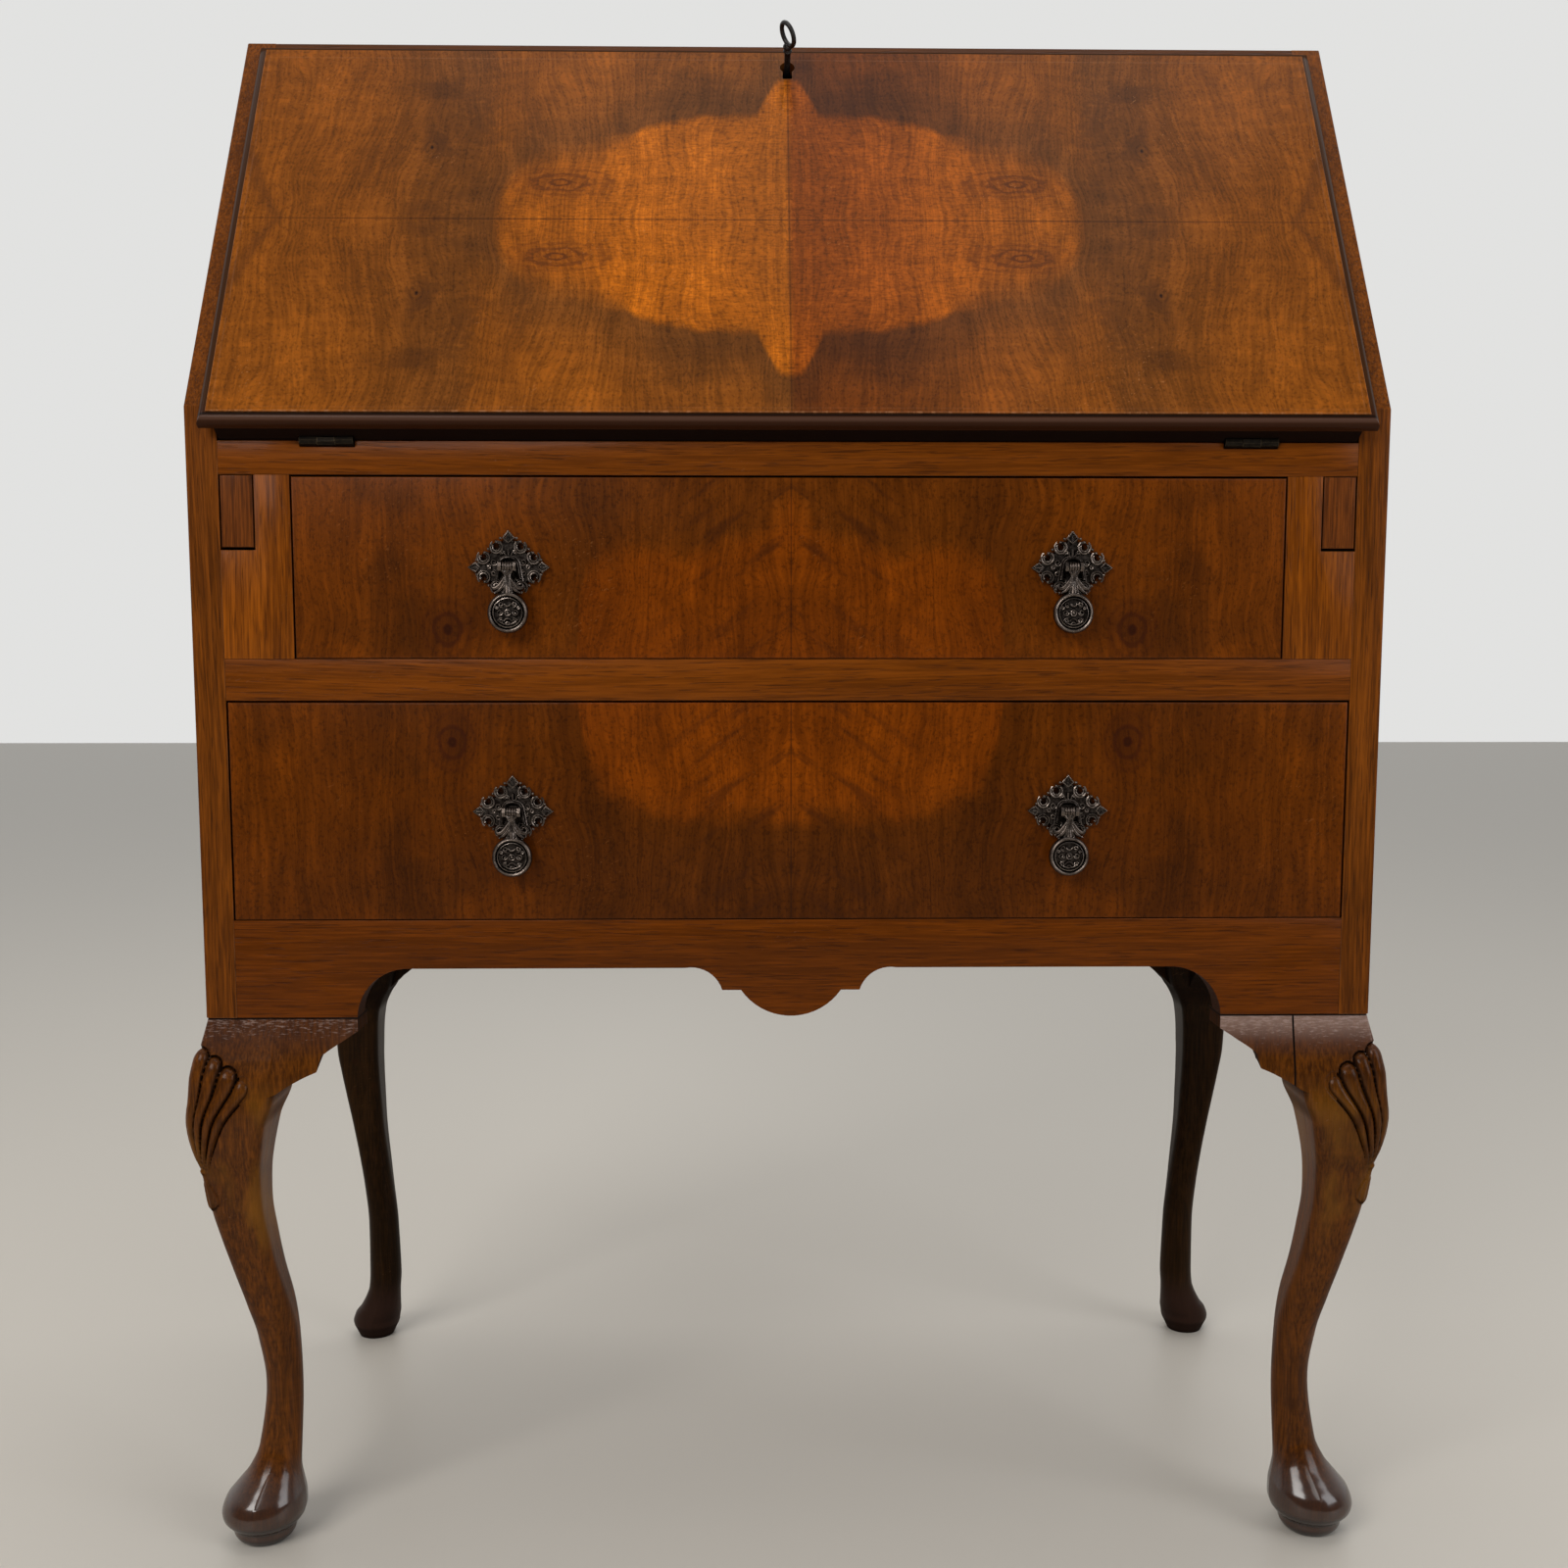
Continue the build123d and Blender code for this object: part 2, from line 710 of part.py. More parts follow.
def loper_bearer():
    """Strip on the right side board that the loper slides on, slotted for its peg."""
    piece = block(
        NOTCH_IN,
        INNER_HALF,
        RAIL_DEPTH,
        BACK_FACE,
        LOPER_FLOOR - SLIDE_GAP - BEARER_THICK,
        LOPER_FLOOR - SLIDE_GAP,
    )
    x = (LOPER_IN + LOPER_OUT) / 2
    half = PEG_RADIUS + PEG_GAP
    rear = LOPER_LENGTH - PEG_INSET + half
    front = LOPER_LENGTH - PEG_INSET - LOPER_TRAVEL - half
    slot = block(
        x - half,
        x + half,
        front,
        rear,
        LOPER_FLOOR - PEG_REACH - PEG_GAP,
        LOPER_FLOOR + OVERRUN,
    )
    return piece - slot


def loper():
    """Right-hand pull-out arm that holds the open fall, and the peg that stops it."""
    arm = block(LOPER_IN, LOPER_OUT, 0, LOPER_LENGTH, LOPER_FLOOR, LOPER_TOP)
    x = (LOPER_IN + LOPER_OUT) / 2
    y = LOPER_LENGTH - PEG_INSET
    peg = rod(PEG_RADIUS, (x, y, LOPER_FLOOR - PEG_REACH), (x, y, LOPER_FLOOR + PEG_SINK))
    return [arm - peg, peg]


def screw_places():
    """Places of one leaf's screws, from the hinge's middle and its axis."""
    return [(-SCREW_PITCH, SCREW_INSET), (0, SCREW_INSET), (SCREW_PITCH, SCREW_INSET)]


def screw_hole(x, y):
    """Hole for one hinge screw, from the leaf's face down."""
    return rod(SCREW_RADIUS, (x, y, 0), (x, y, -SCREW_LENGTH))


def knuckle_ends(index):
    """Ends of one knuckle along the hinge, with the running gap taken off."""
    pitch = HINGE_LENGTH / KNUCKLES
    start = -HINGE_LENGTH / 2 + index * pitch
    return start + KNUCKLE_GAP / 2, start + pitch - KNUCKLE_GAP / 2


def hinge_leaf(indices, pin_hole):
    """A leaf that lies behind the axis, below its level, with its own knuckles."""
    half = HINGE_LENGTH / 2 - KNUCKLE_GAP / 2
    leaf = block(-half, half, 0, HINGE_LEAF - GLUE_GAP, -LEAF_THICK, 0)
    for index in range(KNUCKLES):
        start, end = knuckle_ends(index)
        if index in indices:
            leaf += rod(BARREL_RADIUS, (start, 0, 0), (end, 0, 0))
        else:
            gap = KNUCKLE_GAP
            leaf -= bore(BARREL_RADIUS + BARREL_GAP, (start - gap, 0, 0), (end + gap, 0, 0))
    leaf -= bore(pin_hole, (-half - OVERRUN, 0, 0), (half + OVERRUN, 0, 0))
    for x, y in screw_places():
        leaf -= hinge_screw(x, y)
    return leaf


def hinge_screw(x, y):
    """A flat-headed screw, its head flush with the leaf."""
    head = rod(SCREW_HEAD_RADIUS, (x, y, 0), (x, y, -SCREW_HEAD_THICK))
    return head + rod(SCREW_RADIUS, (x, y, 0), (x, y, -SCREW_LENGTH))


def board_hinge_leaves():
    """The two leaves on the writing board, each with its outer knuckles."""
    leaf = hinge_leaf((0, 2), PIN_RADIUS)
    return [Pos(x, 0, WRITING_TOP) * leaf for x in (-HINGE_OFFSET, HINGE_OFFSET)]


def hinge_pins():
    pins = []
    for x in (-HINGE_OFFSET, HINGE_OFFSET):
        half = HINGE_LENGTH / 2 - KNUCKLE_GAP / 2
        pins.append(rod(PIN_RADIUS, (x - half, 0, WRITING_TOP), (x + half, 0, WRITING_TOP)))
    return pins


def fall_hinge_leaves():
    """The two leaves let into the inner face of the fall."""
    leaf = mirror(hinge_leaf((1,), PIN_RADIUS + PIN_GAP), about=Plane.XY)
    return [on_fall(Pos(x, 0, 0) * leaf) for x in (-HINGE_OFFSET, HINGE_OFFSET)]


def board_hinge_screws():
    screws = []
    for side in (-HINGE_OFFSET, HINGE_OFFSET):
        for x, y in screw_places():
            screws.append(Pos(side, 0, WRITING_TOP) * hinge_screw(x, y))
    return screws


def fall_hinge_screws():
    screws = []
    for side in (-HINGE_OFFSET, HINGE_OFFSET):
        for x, y in screw_places():
            screw = mirror(hinge_screw(x, y), about=Plane.XY)
            screws.append(on_fall(Pos(side, 0, 0) * screw))
    return screws


def keyhole(low, high):
    """The keyhole's round and slot, cut between two levels of the fall's thickness."""
    hole = rod(KEYHOLE_RADIUS, (0, KEY_HEIGHT, low), (0, KEY_HEIGHT, high), KEYHOLE_SIDES)
    slot = block(
        -KEYHOLE_SLOT_HALF,
        KEYHOLE_SLOT_HALF,
        KEY_HEIGHT - KEYHOLE_SLOT_DROP,
        KEY_HEIGHT,
        low,
        high,
    )
    return hole + slot


def fall_panel():
    """The fall's board: rebated foot for the edge strip, mortise, keyhole, hinge recesses."""
    board = block(
        -FALL_PANEL_HALF, FALL_PANEL_HALF, FALL_FOOT_GAP, FALL_PANEL_LENGTH, 0, FALL_THICK
    )
    board -= block(
        -FALL_HALF, FALL_HALF, -OVERRUN, FOOT_STRIP, LIP_BACK, FALL_THICK + OVERRUN
    )
    board -= block(
        -CASE_HALF,
        CASE_HALF,
        CASE_FOOT,
        FALL_PANEL_LENGTH + OVERRUN,
        -OVERRUN,
        CASE_THICK,
    )
    board -= keyhole(CASE_THICK - OVERRUN, FALL_THICK + OVERRUN)
    for place in (-HINGE_OFFSET, HINGE_OFFSET):
        half = HINGE_LENGTH / 2
        board -= block(place - half, place + half, -OVERRUN, HINGE_LEAF, -OVERRUN, LEAF_THICK)
        board -= bore(
            BARREL_RADIUS + BARREL_GAP,
            (place - half - KNUCKLE_GAP, 0, 0),
            (place + half + KNUCKLE_GAP, 0, 0),
        )
        for x, y in screw_places():
            board -= Pos(place, 0, 0) * mirror(screw_hole(x, y), about=Plane.XY)
    return on_fall(board)


def edging_section(width):
    """Section of an edge strip: thumbnail moulding, quirk, and the flat beside the veneer."""
    shelf = FALL_THICK - QUIRK
    field = MOULD_WIDTH + QUIRK_FLAT
    turn = Vector(MOULD_WIDTH, shelf - MOULD_WIDTH)
    return make_face(
        [
            Line((0, LIP_BACK), (width, LIP_BACK)),
            Line((width, LIP_BACK), (width, FALL_THICK)),
            Line((width, FALL_THICK), (field, FALL_THICK)),
            Line((field, FALL_THICK), (field, shelf)),
            Line((field, shelf), (MOULD_WIDTH, shelf)),
            quarter(turn, -MOULD_WIDTH, MOULD_WIDTH),
            Line((0, shelf - MOULD_WIDTH), (0, LIP_BACK)),
        ]
    )


def mitre(width, beside):
    """Corners of a strip's end: 45 degrees across the narrower strip, then square to it."""
    if beside < width:
        return [(0, 0), (beside, beside), (beside, width + OVERRUN)]
    return [(0, 0), (width + OVERRUN, width + OVERRUN)]


def mitred_strip(length, width, before, after):
    """A strip along X from the origin, between two strips of other widths."""
    plane = Plane(origin=(0, 0, 0), x_dir=(0, 1, 0), z_dir=(1, 0, 0))
    strip = extrude(plane * edging_section(width), length)
    end = [(length - x, y) for x, y in reversed(mitre(width, after))]
    keep = outline(mitre(width, before) + end)
    return strip & extrude(Pos(0, 0, LIP_BACK - OVERRUN) * keep, FALL_THICK)


def fall_edging():
    """Four mitred strips that lap the sides and the top."""
    side = FALL_HALF - FALL_PANEL_HALF
    foot = FOOT_STRIP - FALL_FOOT_GAP
    head = FALL_LENGTH - FALL_PANEL_LENGTH
    across_fall = 2 * FALL_HALF
    up_fall = FALL_LENGTH - FALL_FOOT_GAP
    strips = [
        (-FALL_HALF, FALL_FOOT_GAP, 0, mitred_strip(across_fall, foot, side, side)),
        (FALL_HALF, FALL_FOOT_GAP, 90, mitred_strip(up_fall, side, foot, head)),
        (FALL_HALF, FALL_LENGTH, 180, mitred_strip(across_fall, head, side, side)),
        (-FALL_HALF, FALL_LENGTH, 270, mitred_strip(up_fall, side, head, foot)),
    ]
    return [on_fall(Pos(x, y) * Rot(0, 0, turn) * strip) for x, y, turn, strip in strips]


def lock_case():
    """Box lock in the fall's upper edge, with the bolt's way, keyhole and bit chamber."""
    case = block(-CASE_HALF, CASE_HALF, CASE_FOOT, FALL_PANEL_LENGTH, 0, CASE_THICK)
    case -= block(
        -BOLT_HALF - BOLT_GAP,
        BOLT_HALF + BOLT_GAP,
        BOLT_TIP - BOLT_LENGTH - BOLT_GAP,
        FALL_PANEL_LENGTH + OVERRUN,
        BOLT_LOW - BOLT_GAP,
        BOLT_LOW + BOLT_THICK + BOLT_GAP,
    )
    case -= rod(
        CHAMBER_RADIUS,
        (0, KEY_HEIGHT, CHAMBER_LOW),
        (0, KEY_HEIGHT, CHAMBER_LOW + CHAMBER_DEPTH),
    )
    case -= keyhole(CHAMBER_LOW, CASE_THICK + OVERRUN)
    return on_fall(case)


def lock_bolt():
    """Flat bolt, drawn back at rest and thrown up into the top board's pocket."""
    return on_fall(
        block(
            -BOLT_HALF,
            BOLT_HALF,
            BOLT_TIP - BOLT_LENGTH,
            BOLT_TIP,
            BOLT_LOW,
            BOLT_LOW + BOLT_THICK,
        )
    )


def bow_ring():
    """The key's ring, flat on XY, with an eight-sided wire."""
    half = BOW_WIRE / 2
    levels = ((-BOW_WIRE, half), (-half, BOW_WIRE), (half, BOW_WIRE), (BOW_WIRE, half))
    outer = turned([(z, BOW_RADIUS + out) for z, out in levels], BOW_SIDES)
    inner = turned([(z, BOW_RADIUS - out) for z, out in levels], BOW_SIDES)
    return outer - inner


def key():
    """Ring-bowed key: bit, shank, collar and bow, turned as it stands in the lock."""
    foot = CHAMBER_LOW + BIT_CLEAR
    shoulder = FALL_THICK + KEY_PROUD
    shank = rod(KEY_RADIUS, (0, 0, foot), (0, 0, shoulder))
    bit = block(0, BIT_REACH, -BIT_THICK / 2, BIT_THICK / 2, foot, foot + BIT_WIDTH)
    collar = rod(COLLAR_RADIUS, (0, 0, shoulder - COLLAR_LENGTH), (0, 0, shoulder))
    bow = Pos(0, 0, shoulder + BOW_RADIUS) * Rot(90, 0, 0) * bow_ring()
    whole = shank + bit + collar + bow
    return on_fall(Pos(0, KEY_HEIGHT, 0) * Rot(0, 0, BOW_TURN) * whole)


def drawer_front_box(half, floor, height):
    """Corners of a drawer front, clear of its opening."""
    return (
        -half + DRAWER_SIDE_GAP,
        half - DRAWER_SIDE_GAP,
        0,
        FRONT_THICK,
        floor + DRAWER_FOOT_GAP,
        floor + height - DRAWER_TOP_GAP,
    )


def dovetails(count, low, high, outer, inner, root, tip):
    """Tails of a drawer side: wedges wider at their ends than at their roots."""
    pitch = (high - low) / count
    tails = []
    for index in range(count):
        middle = low + pitch * (index + 0.5)
        narrow = (pitch - DOVETAIL_PIN) / 2
        wide = narrow + DOVETAIL_SLOPE
        face = outline(
            [
                (root, middle - narrow),
                (tip, middle - wide),
                (tip, middle + wide),
                (root, middle + narrow),
            ]
        )
        tails.append(across(face, inner, outer))
    return tails


def drawer(half, floor, height, tails):
    """A drawer in its opening: front, two sides, back and bottom, dovetailed together."""
    x0, x1, y0, y1, z0, z1 = drawer_front_box(half, floor, height)
    side_out = x1
    side_in = side_out - DRAWER_SIDE_THICK
    side_top = z1
    rear = DRAWER_LENGTH
    back_front = rear - DRAWER_BACK_THICK
    bottom_low = z0 + DRAWER_BOTTOM_RISE
    bottom_high = bottom_low + DRAWER_BOTTOM_THICK
    front = block(x0, x1, y0, y1, z0, z1)
    back = block(-side_in, side_in, back_front, rear, bottom_high, side_top - DRAWER_BACK_DROP)
    side = block(side_in, side_out, y1, back_front, z0, side_top)
    lapped = dovetails(tails, z0, side_top, side_out, side_in, y1, DOVETAIL_LAP)
    rear_tails = dovetails(
        tails, bottom_high, side_top - DRAWER_BACK_DROP, side_out, side_in, back_front, rear
    )
    for tail in lapped + rear_tails:
        side += tail
    ends = block(
        side_in, side_out, back_front, rear, bottom_high, side_top - DRAWER_BACK_DROP
    )
    back += ends + flip(ends)
    for tail in lapped:
        front -= tail
        front -= flip(tail)
    for tail in rear_tails:
        back -= tail
        back -= flip(tail)
    bottom_half = side_in + DRAWER_GROOVE
    bottom = block(
        -bottom_half, bottom_half, y1 - DRAWER_GROOVE, rear, bottom_low, bottom_high
    )
    front -= bottom
    side -= bottom
    for place in (-PULL_OFFSET, PULL_OFFSET):
        z = floor + height / 2
        front -= bore(POST_RADIUS + GLUE_GAP, (place, -OVERRUN, z), (place, y1 + OVERRUN, z))
    return {
        "front": [front],
        "side_left": [flip(side)],
        "side_right": [side],
        "back": [back],
        "bottom": [bottom],
    }


def plate_outline():
    """Pierced lozenge of a pull: ring bosses on its edges and pointed tips."""
    wide = PLATE_HALF_WIDTH * PLATE_LATTICE_SHARE
    tall = PLATE_HALF_HEIGHT * PLATE_LATTICE_SHARE
    plate = outline([(wide, 0), (0, tall), (-wide, 0), (0, -tall)])
    places = []
    for x, y in RING_SHARES:
        for sx in (-PLATE_HALF_WIDTH, PLATE_HALF_WIDTH):
            for sy in (-PLATE_HALF_HEIGHT, PLATE_HALF_HEIGHT):
                places.append(Pos(sx * x, sy * y))
    for place in places:
        plate += place * RegularPolygon(RING_RADIUS, SMALL_SIDES)
    for sign in (-1, 1):
        end = sign * PLATE_HALF_WIDTH
        root = end - sign * TIP_LENGTH
        plate += outline([(end, 0), (root, TIP_HALF), (root, -TIP_HALF)])
        end = sign * PLATE_HALF_HEIGHT
        root = end - sign * TIP_LENGTH
        plate += outline([(0, end), (TIP_HALF, root), (-TIP_HALF, root)])
    for place in places:
        plate -= place * RegularPolygon(RING_HOLE, RING_HOLE_SIDES)
    return plate - RegularPolygon(POST_RADIUS + GLUE_GAP, SMALL_SIDES, major_radius=False)


def pull_plate(x, z):
    return Pos(x, 0, z) * through(plate_outline(), -PLATE_THICK, 0)


def pull_post(x, z):
    """Post through the drawer front with its nut, and the two cheeks that hold the pin."""
    nut_end = FRONT_THICK + NUT_THICK
    post = rod(POST_RADIUS, (0, -PLATE_THICK, 0), (0, nut_end, 0))
    post += rod(NUT_RADIUS, (0, FRONT_THICK, 0), (0, nut_end, 0), NUT_SIDES)
    inner = EYE_HALF - EYE_CHEEK
    for sign in (-1, 1):
        post += block(
            sign * inner, sign * EYE_HALF, -PIVOT_OUT, -PLATE_THICK, -EYE_RADIUS, EYE_RADIUS
        )
        post += rod(EYE_RADIUS, (sign * inner, -PIVOT_OUT, 0), (sign * EYE_HALF, -PIVOT_OUT, 0))
    post += block(
        -EYE_HALF, EYE_HALF, -PLATE_THICK - EYE_CHEEK / 2, -PLATE_THICK, -EYE_RADIUS, EYE_RADIUS
    )
    post += rod(PIVOT_PIN_RADIUS, (-inner, -PIVOT_OUT, 0), (inner, -PIVOT_OUT, 0))
    return Pos(x, 0, z) * post


def pull_drop(x, z):
    """Hanging drop: knuckle on the pin, waisted neck, leaf shoulders and a rimmed disc."""
    knuckle = rod(DROP_KNUCKLE_RADIUS, (-DROP_KNUCKLE_HALF, 0, 0), (DROP_KNUCKLE_HALF, 0, 0))
    disc_top = -DROP_DISC_BELOW + DROP_DISC_RADIUS
    shoulder = disc_top + DROP_RIM_WIDTH
    neck = outline(
        [
            (-DROP_NECK_HALF, 0),
            (DROP_NECK_HALF, 0),
            (DROP_NECK_HALF, shoulder / 2),
            (DROP_SHOULDER_HALF, shoulder),
            (DROP_SHOULDER_HALF, disc_top - DROP_RIM_WIDTH),
            (0, disc_top - 2 * DROP_RIM_WIDTH),
            (-DROP_SHOULDER_HALF, disc_top - DROP_RIM_WIDTH),
            (-DROP_SHOULDER_HALF, shoulder),
            (-DROP_NECK_HALF, shoulder / 2),
        ]
    )
    half = DROP_NECK_THICK / 2
    drop = knuckle + through(neck, -half, half)
    thick = DROP_DISC_THICK / 2
    centre = -DROP_DISC_BELOW
    drop += rod(DROP_DISC_RADIUS, (0, -thick, centre), (0, thick, centre), DISC_SIDES)
    drop -= rod(
        DROP_DISC_RADIUS - DROP_RIM_WIDTH,
        (0, -thick - OVERRUN, centre),
        (0, -thick + DROP_RIM_DEPTH, centre),
        DISC_SIDES,
    )
    half_pin = DROP_KNUCKLE_HALF + OVERRUN
    drop -= bore(PIVOT_PIN_RADIUS + PIVOT_GAP, (-half_pin, 0, 0), (half_pin, 0, 0))
    return Pos(x, -PIVOT_OUT, z) * drop


def drawer_stops():
    """Blocks that stop the fronts flush: under the upper drawer, behind the lower one."""
    stops = []
    for side in (-1, 1):
        x = side * STOP_OFFSET
        y = FRONT_THICK + SLIDE_GAP
        stops.append(
            block(
                x - STOP_LENGTH / 2,
                x + STOP_LENGTH / 2,
                y,
                y + STOP_DEPTH,
                UPPER_FLOOR,
                UPPER_FLOOR + STOP_HEIGHT,
            )
        )
        edge = side * INNER_HALF
        stops.append(
            block(
                edge - side * LOWER_RUNNER_WIDTH,
                edge,
                DRAWER_LENGTH + SLIDE_GAP,
                BACK_RAIL_FACE,
                LOWER_FLOOR,
                LOWER_FLOOR + LOWER_STOP_HEIGHT,
            )
        )
    return stops


def nest_uprights():
    """Ends and lower divisions of the fitted inside."""
    boards = []
    for sign in (-1, 1):
        boards.append(
            block(
                sign * (NEST_HALF - NEST_BOARD),
                sign * NEST_HALF,
                NEST_SETBACK,
                BACK_FACE,
                WRITING_TOP,
                TOP_UNDER,
            )
        )
        boards.append(
            block(
                sign * NEST_CENTRE_HALF,
                sign * (NEST_CENTRE_HALF + NEST_BOARD),
                NEST_SETBACK,
                BACK_FACE,
                WRITING_TOP,
                NEST_SHELF_UNDER,
            )
        )
    return boards


def nest_shelf():
    half = NEST_HALF - NEST_BOARD
    return block(-half, half, NEST_SETBACK, BACK_FACE, NEST_SHELF_UNDER, NEST_SHELF_TOP)


def nest_divider_places():
    """Middles of the thin dividers, from left to right."""
    half = NEST_HALF - NEST_BOARD
    return sorted(sign * share * half for share in NEST_DIVIDER_SHARES for sign in (-1, 1))


def nest_divider_edges():
    """Faces of the pigeonholes from left to right, as pairs."""
    faces = [-NEST_HALF + NEST_BOARD]
    for place in nest_divider_places():
        faces += [place - NEST_DIVIDER / 2, place + NEST_DIVIDER / 2]
    faces.append(NEST_HALF - NEST_BOARD)
    return list(zip(faces[0::2], faces[1::2]))


def nest_dividers():
    """Thin boards between the pigeonholes."""
    half = NEST_DIVIDER / 2
    return [
        block(x - half, x + half, NEST_SETBACK, BACK_FACE, NEST_SHELF_TOP, TOP_UNDER)
        for x in nest_divider_places()
    ]


def nest_valances():
    """Arched heads over the pigeonholes."""
    heads = []
    foot = TOP_UNDER - VALANCE_HEIGHT
    for left, right in nest_divider_edges():
        middle = (left + right) / 2
        flat = NEST_BOARD
        edges = [
            Line((left, TOP_UNDER), (right, TOP_UNDER)),
            Line((right, TOP_UNDER), (right, foot)),
            Line((right, foot), (right - flat, foot)),
            ThreePointArc((right - flat, foot), (middle, foot + VALANCE_RISE), (left + flat, foot)),
            Line((left + flat, foot), (left, foot)),
            Line((left, foot), (left, TOP_UNDER)),
        ]
        heads.append(through(make_face(edges), NEST_SETBACK, NEST_SETBACK + NEST_DIVIDER))
    return heads


def nest_drawer():
    """Right-hand small drawer: front, the tray's four boards, and the turned knob."""
    left = NEST_CENTRE_HALF + NEST_BOARD + NEST_DRAWER_GAP
    right = NEST_HALF - NEST_BOARD - NEST_DRAWER_GAP
    low = WRITING_TOP + SLIDE_GAP
    high = WRITING_TOP + NEST_DRAWER_HIGH
    front_y = NEST_SETBACK
    tray_y = front_y + NEST_FRONT_THICK
    rear = front_y + NEST_DRAWER_LENGTH
    front = block(left, right, front_y, tray_y, low, high)
    bottom_top = low + NEST_BOTTOM
    tray = [
        block(left, right, tray_y, rear, low, bottom_top),
        block(left, left + NEST_WALL, tray_y, rear, bottom_top, high),
        block(right - NEST_WALL, right, tray_y, rear, bottom_top, high),
        block(
            left + NEST_WALL, right - NEST_WALL, rear - NEST_WALL, rear, bottom_top, high
        ),
    ]
    x = (left + right) / 2
    z = (low + high) / 2
    stations = [(-KNOB_SPIGOT, KNOB_NECK_RADIUS)]
    for along, share in KNOB_SHARES:
        radius = KNOB_NECK_RADIUS + share * (KNOB_RADIUS - KNOB_NECK_RADIUS)
        stations.append((along * KNOB_LENGTH, radius))
    knob = Pos(x, front_y, z) * Rot(90, 0, 0) * turned(stations)
    front -= knob
    return front, tray, knob


def build_nodes():
    """Every node's solids, keyed by the node's name."""
    nodes = {}
    side = side_board()
    nodes["side_left"] = [flip(side)]
    nodes["side_right"] = [side]
    nodes["top_board"] = [top_board()]
    nodes["writing_board"] = [writing_board()]
    nodes["divider_rail"] = [divider_rail()]
    nodes["apron_rail"] = [apron_rail()]
    nodes["back_rail"] = [back_rail()]
    nodes["back_panel"] = [back_panel()]
    nodes["dust_board"] = [dust_board()]
    runners = [upper_runner(), lower_runner()]
    nodes["drawer_runners"] = runners + [flip(piece) for piece in runners]
    nodes["drawer_stops"] = drawer_stops()
    blocks = [corner_block(), rear_corner_block()]
    nodes["corner_blocks"] = blocks + [flip(piece) for piece in blocks]

    front_leg = leg()
    rear_leg = back_to_front(front_leg)
    nodes["leg_front_right"] = [front_leg]
    nodes["leg_front_left"] = [flip(front_leg)]
    nodes["leg_rear_right"] = [rear_leg]
    nodes["leg_rear_left"] = [flip(rear_leg)]
    ears = knee_blocks()
    rear_ears = [back_to_front(piece) for piece in ears]
    nodes["knee_blocks_front"] = ears + [flip(piece) for piece in ears]
    nodes["knee_blocks_rear"] = rear_ears + [flip(piece) for piece in rear_ears]

    stile = loper_stile()
    nodes["loper_stile_right"] = [stile]
    nodes["loper_stile_left"] = [flip(stile)]
    partition = loper_partition()
    nodes["loper_partition_right"] = [partition]
    nodes["loper_partition_left"] = [flip(partition)]
    bearer = loper_bearer()
    nodes["loper_bearers"] = [bearer, flip(bearer)]
    arm, peg = loper()
    nodes["loper_right"] = [arm, peg]
    nodes["loper_left"] = [flip(arm), flip(peg)]

    nodes["hinge_leaves_board"] = board_hinge_leaves() + hinge_pins()
    nodes["hinge_screws_board"] = board_hinge_screws()
    nodes["hinge_leaves_fall"] = fall_hinge_leaves()
    nodes["hinge_screws_fall"] = fall_hinge_screws()
    nodes["fall_panel"] = [fall_panel()]
    nodes["fall_edging"] = fall_edging()
    nodes["lock_case"] = [lock_case()]
    nodes["lock_bolt"] = [lock_bolt()]
    nodes["key"] = [key()]

    upper = drawer(UPPER_HALF_OPENING, UPPER_FLOOR, UPPER_OPENING, UPPER_TAILS)
    lower = drawer(INNER_HALF, LOWER_FLOOR, LOWER_OPENING, LOWER_TAILS)
    for name, pieces, height in zip(("upper", "lower"), (upper, lower), PULL_HEIGHTS):
        for part, solids in pieces.items():
            nodes[f"{name}_drawer_{part}"] = solids
        places = {"left": -PULL_OFFSET, "right": PULL_OFFSET}
        nodes[f"{name}_pull_plates"] = [pull_plate(x, height) for x in places.values()]
        nodes[f"{name}_pull_posts"] = [pull_post(x, height) for x in places.values()]
        for hand, x in places.items():
            nodes[f"{name}_pull_drop_{hand}"] = [pull_drop(x, height)]

    nodes["nest_uprights"] = nest_uprights() + nest_dividers()
    nodes["nest_shelf"] = [nest_shelf()]
    nodes["nest_valances"] = nest_valances()
    front, tray, knob = nest_drawer()
    nodes["nest_drawer_right_front"] = [front, knob]
    nodes["nest_drawer_left_front"] = [flip(front), flip(knob)]
    nodes["nest_drawer_right_tray"] = tray
    nodes["nest_drawer_left_tray"] = [flip(board) for board in tray]
    return nodes


def centring(nodes):
    """How far to move the model so that its box stands centred on the origin."""
    everything = Compound([solid for solids in nodes.values() for solid in solids])
    box = everything.bounding_box()
    return -(box.min.Y + box.max.Y) / 2, -box.min.Z


def main():
    nodes = build_nodes()
    shift_y, shift_z = centring(nodes)
    os.makedirs("parts", exist_ok=True)
    for name, solids in nodes.items():
        placed = [Pos(0, shift_y, shift_z) * solid for solid in solids]
        flat = [solid for piece in placed for solid in piece.solids()]
        export_step(Compound(flat), f"parts/{name}.step")
    print(len(nodes), "nodes, front plane at", round(shift_y, 3), "lift", round(shift_z, 4))


if __name__ == "__main__":
    main()
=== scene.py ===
# %% [markdown]
# # A writing bureau, dressed from its CAD model
# The CAD model holds every board, joint and pin at its true size. This lesson gives it what a
# photograph shows and a plain model lacks: figured walnut, carved knees, cast pulls and wear.
# Everything is in metres. X runs to the right, Y from the front to the back, Z up.

# %% Load the frame
import json
import math

import bmesh
import bpy
from mathutils import Matrix, Vector


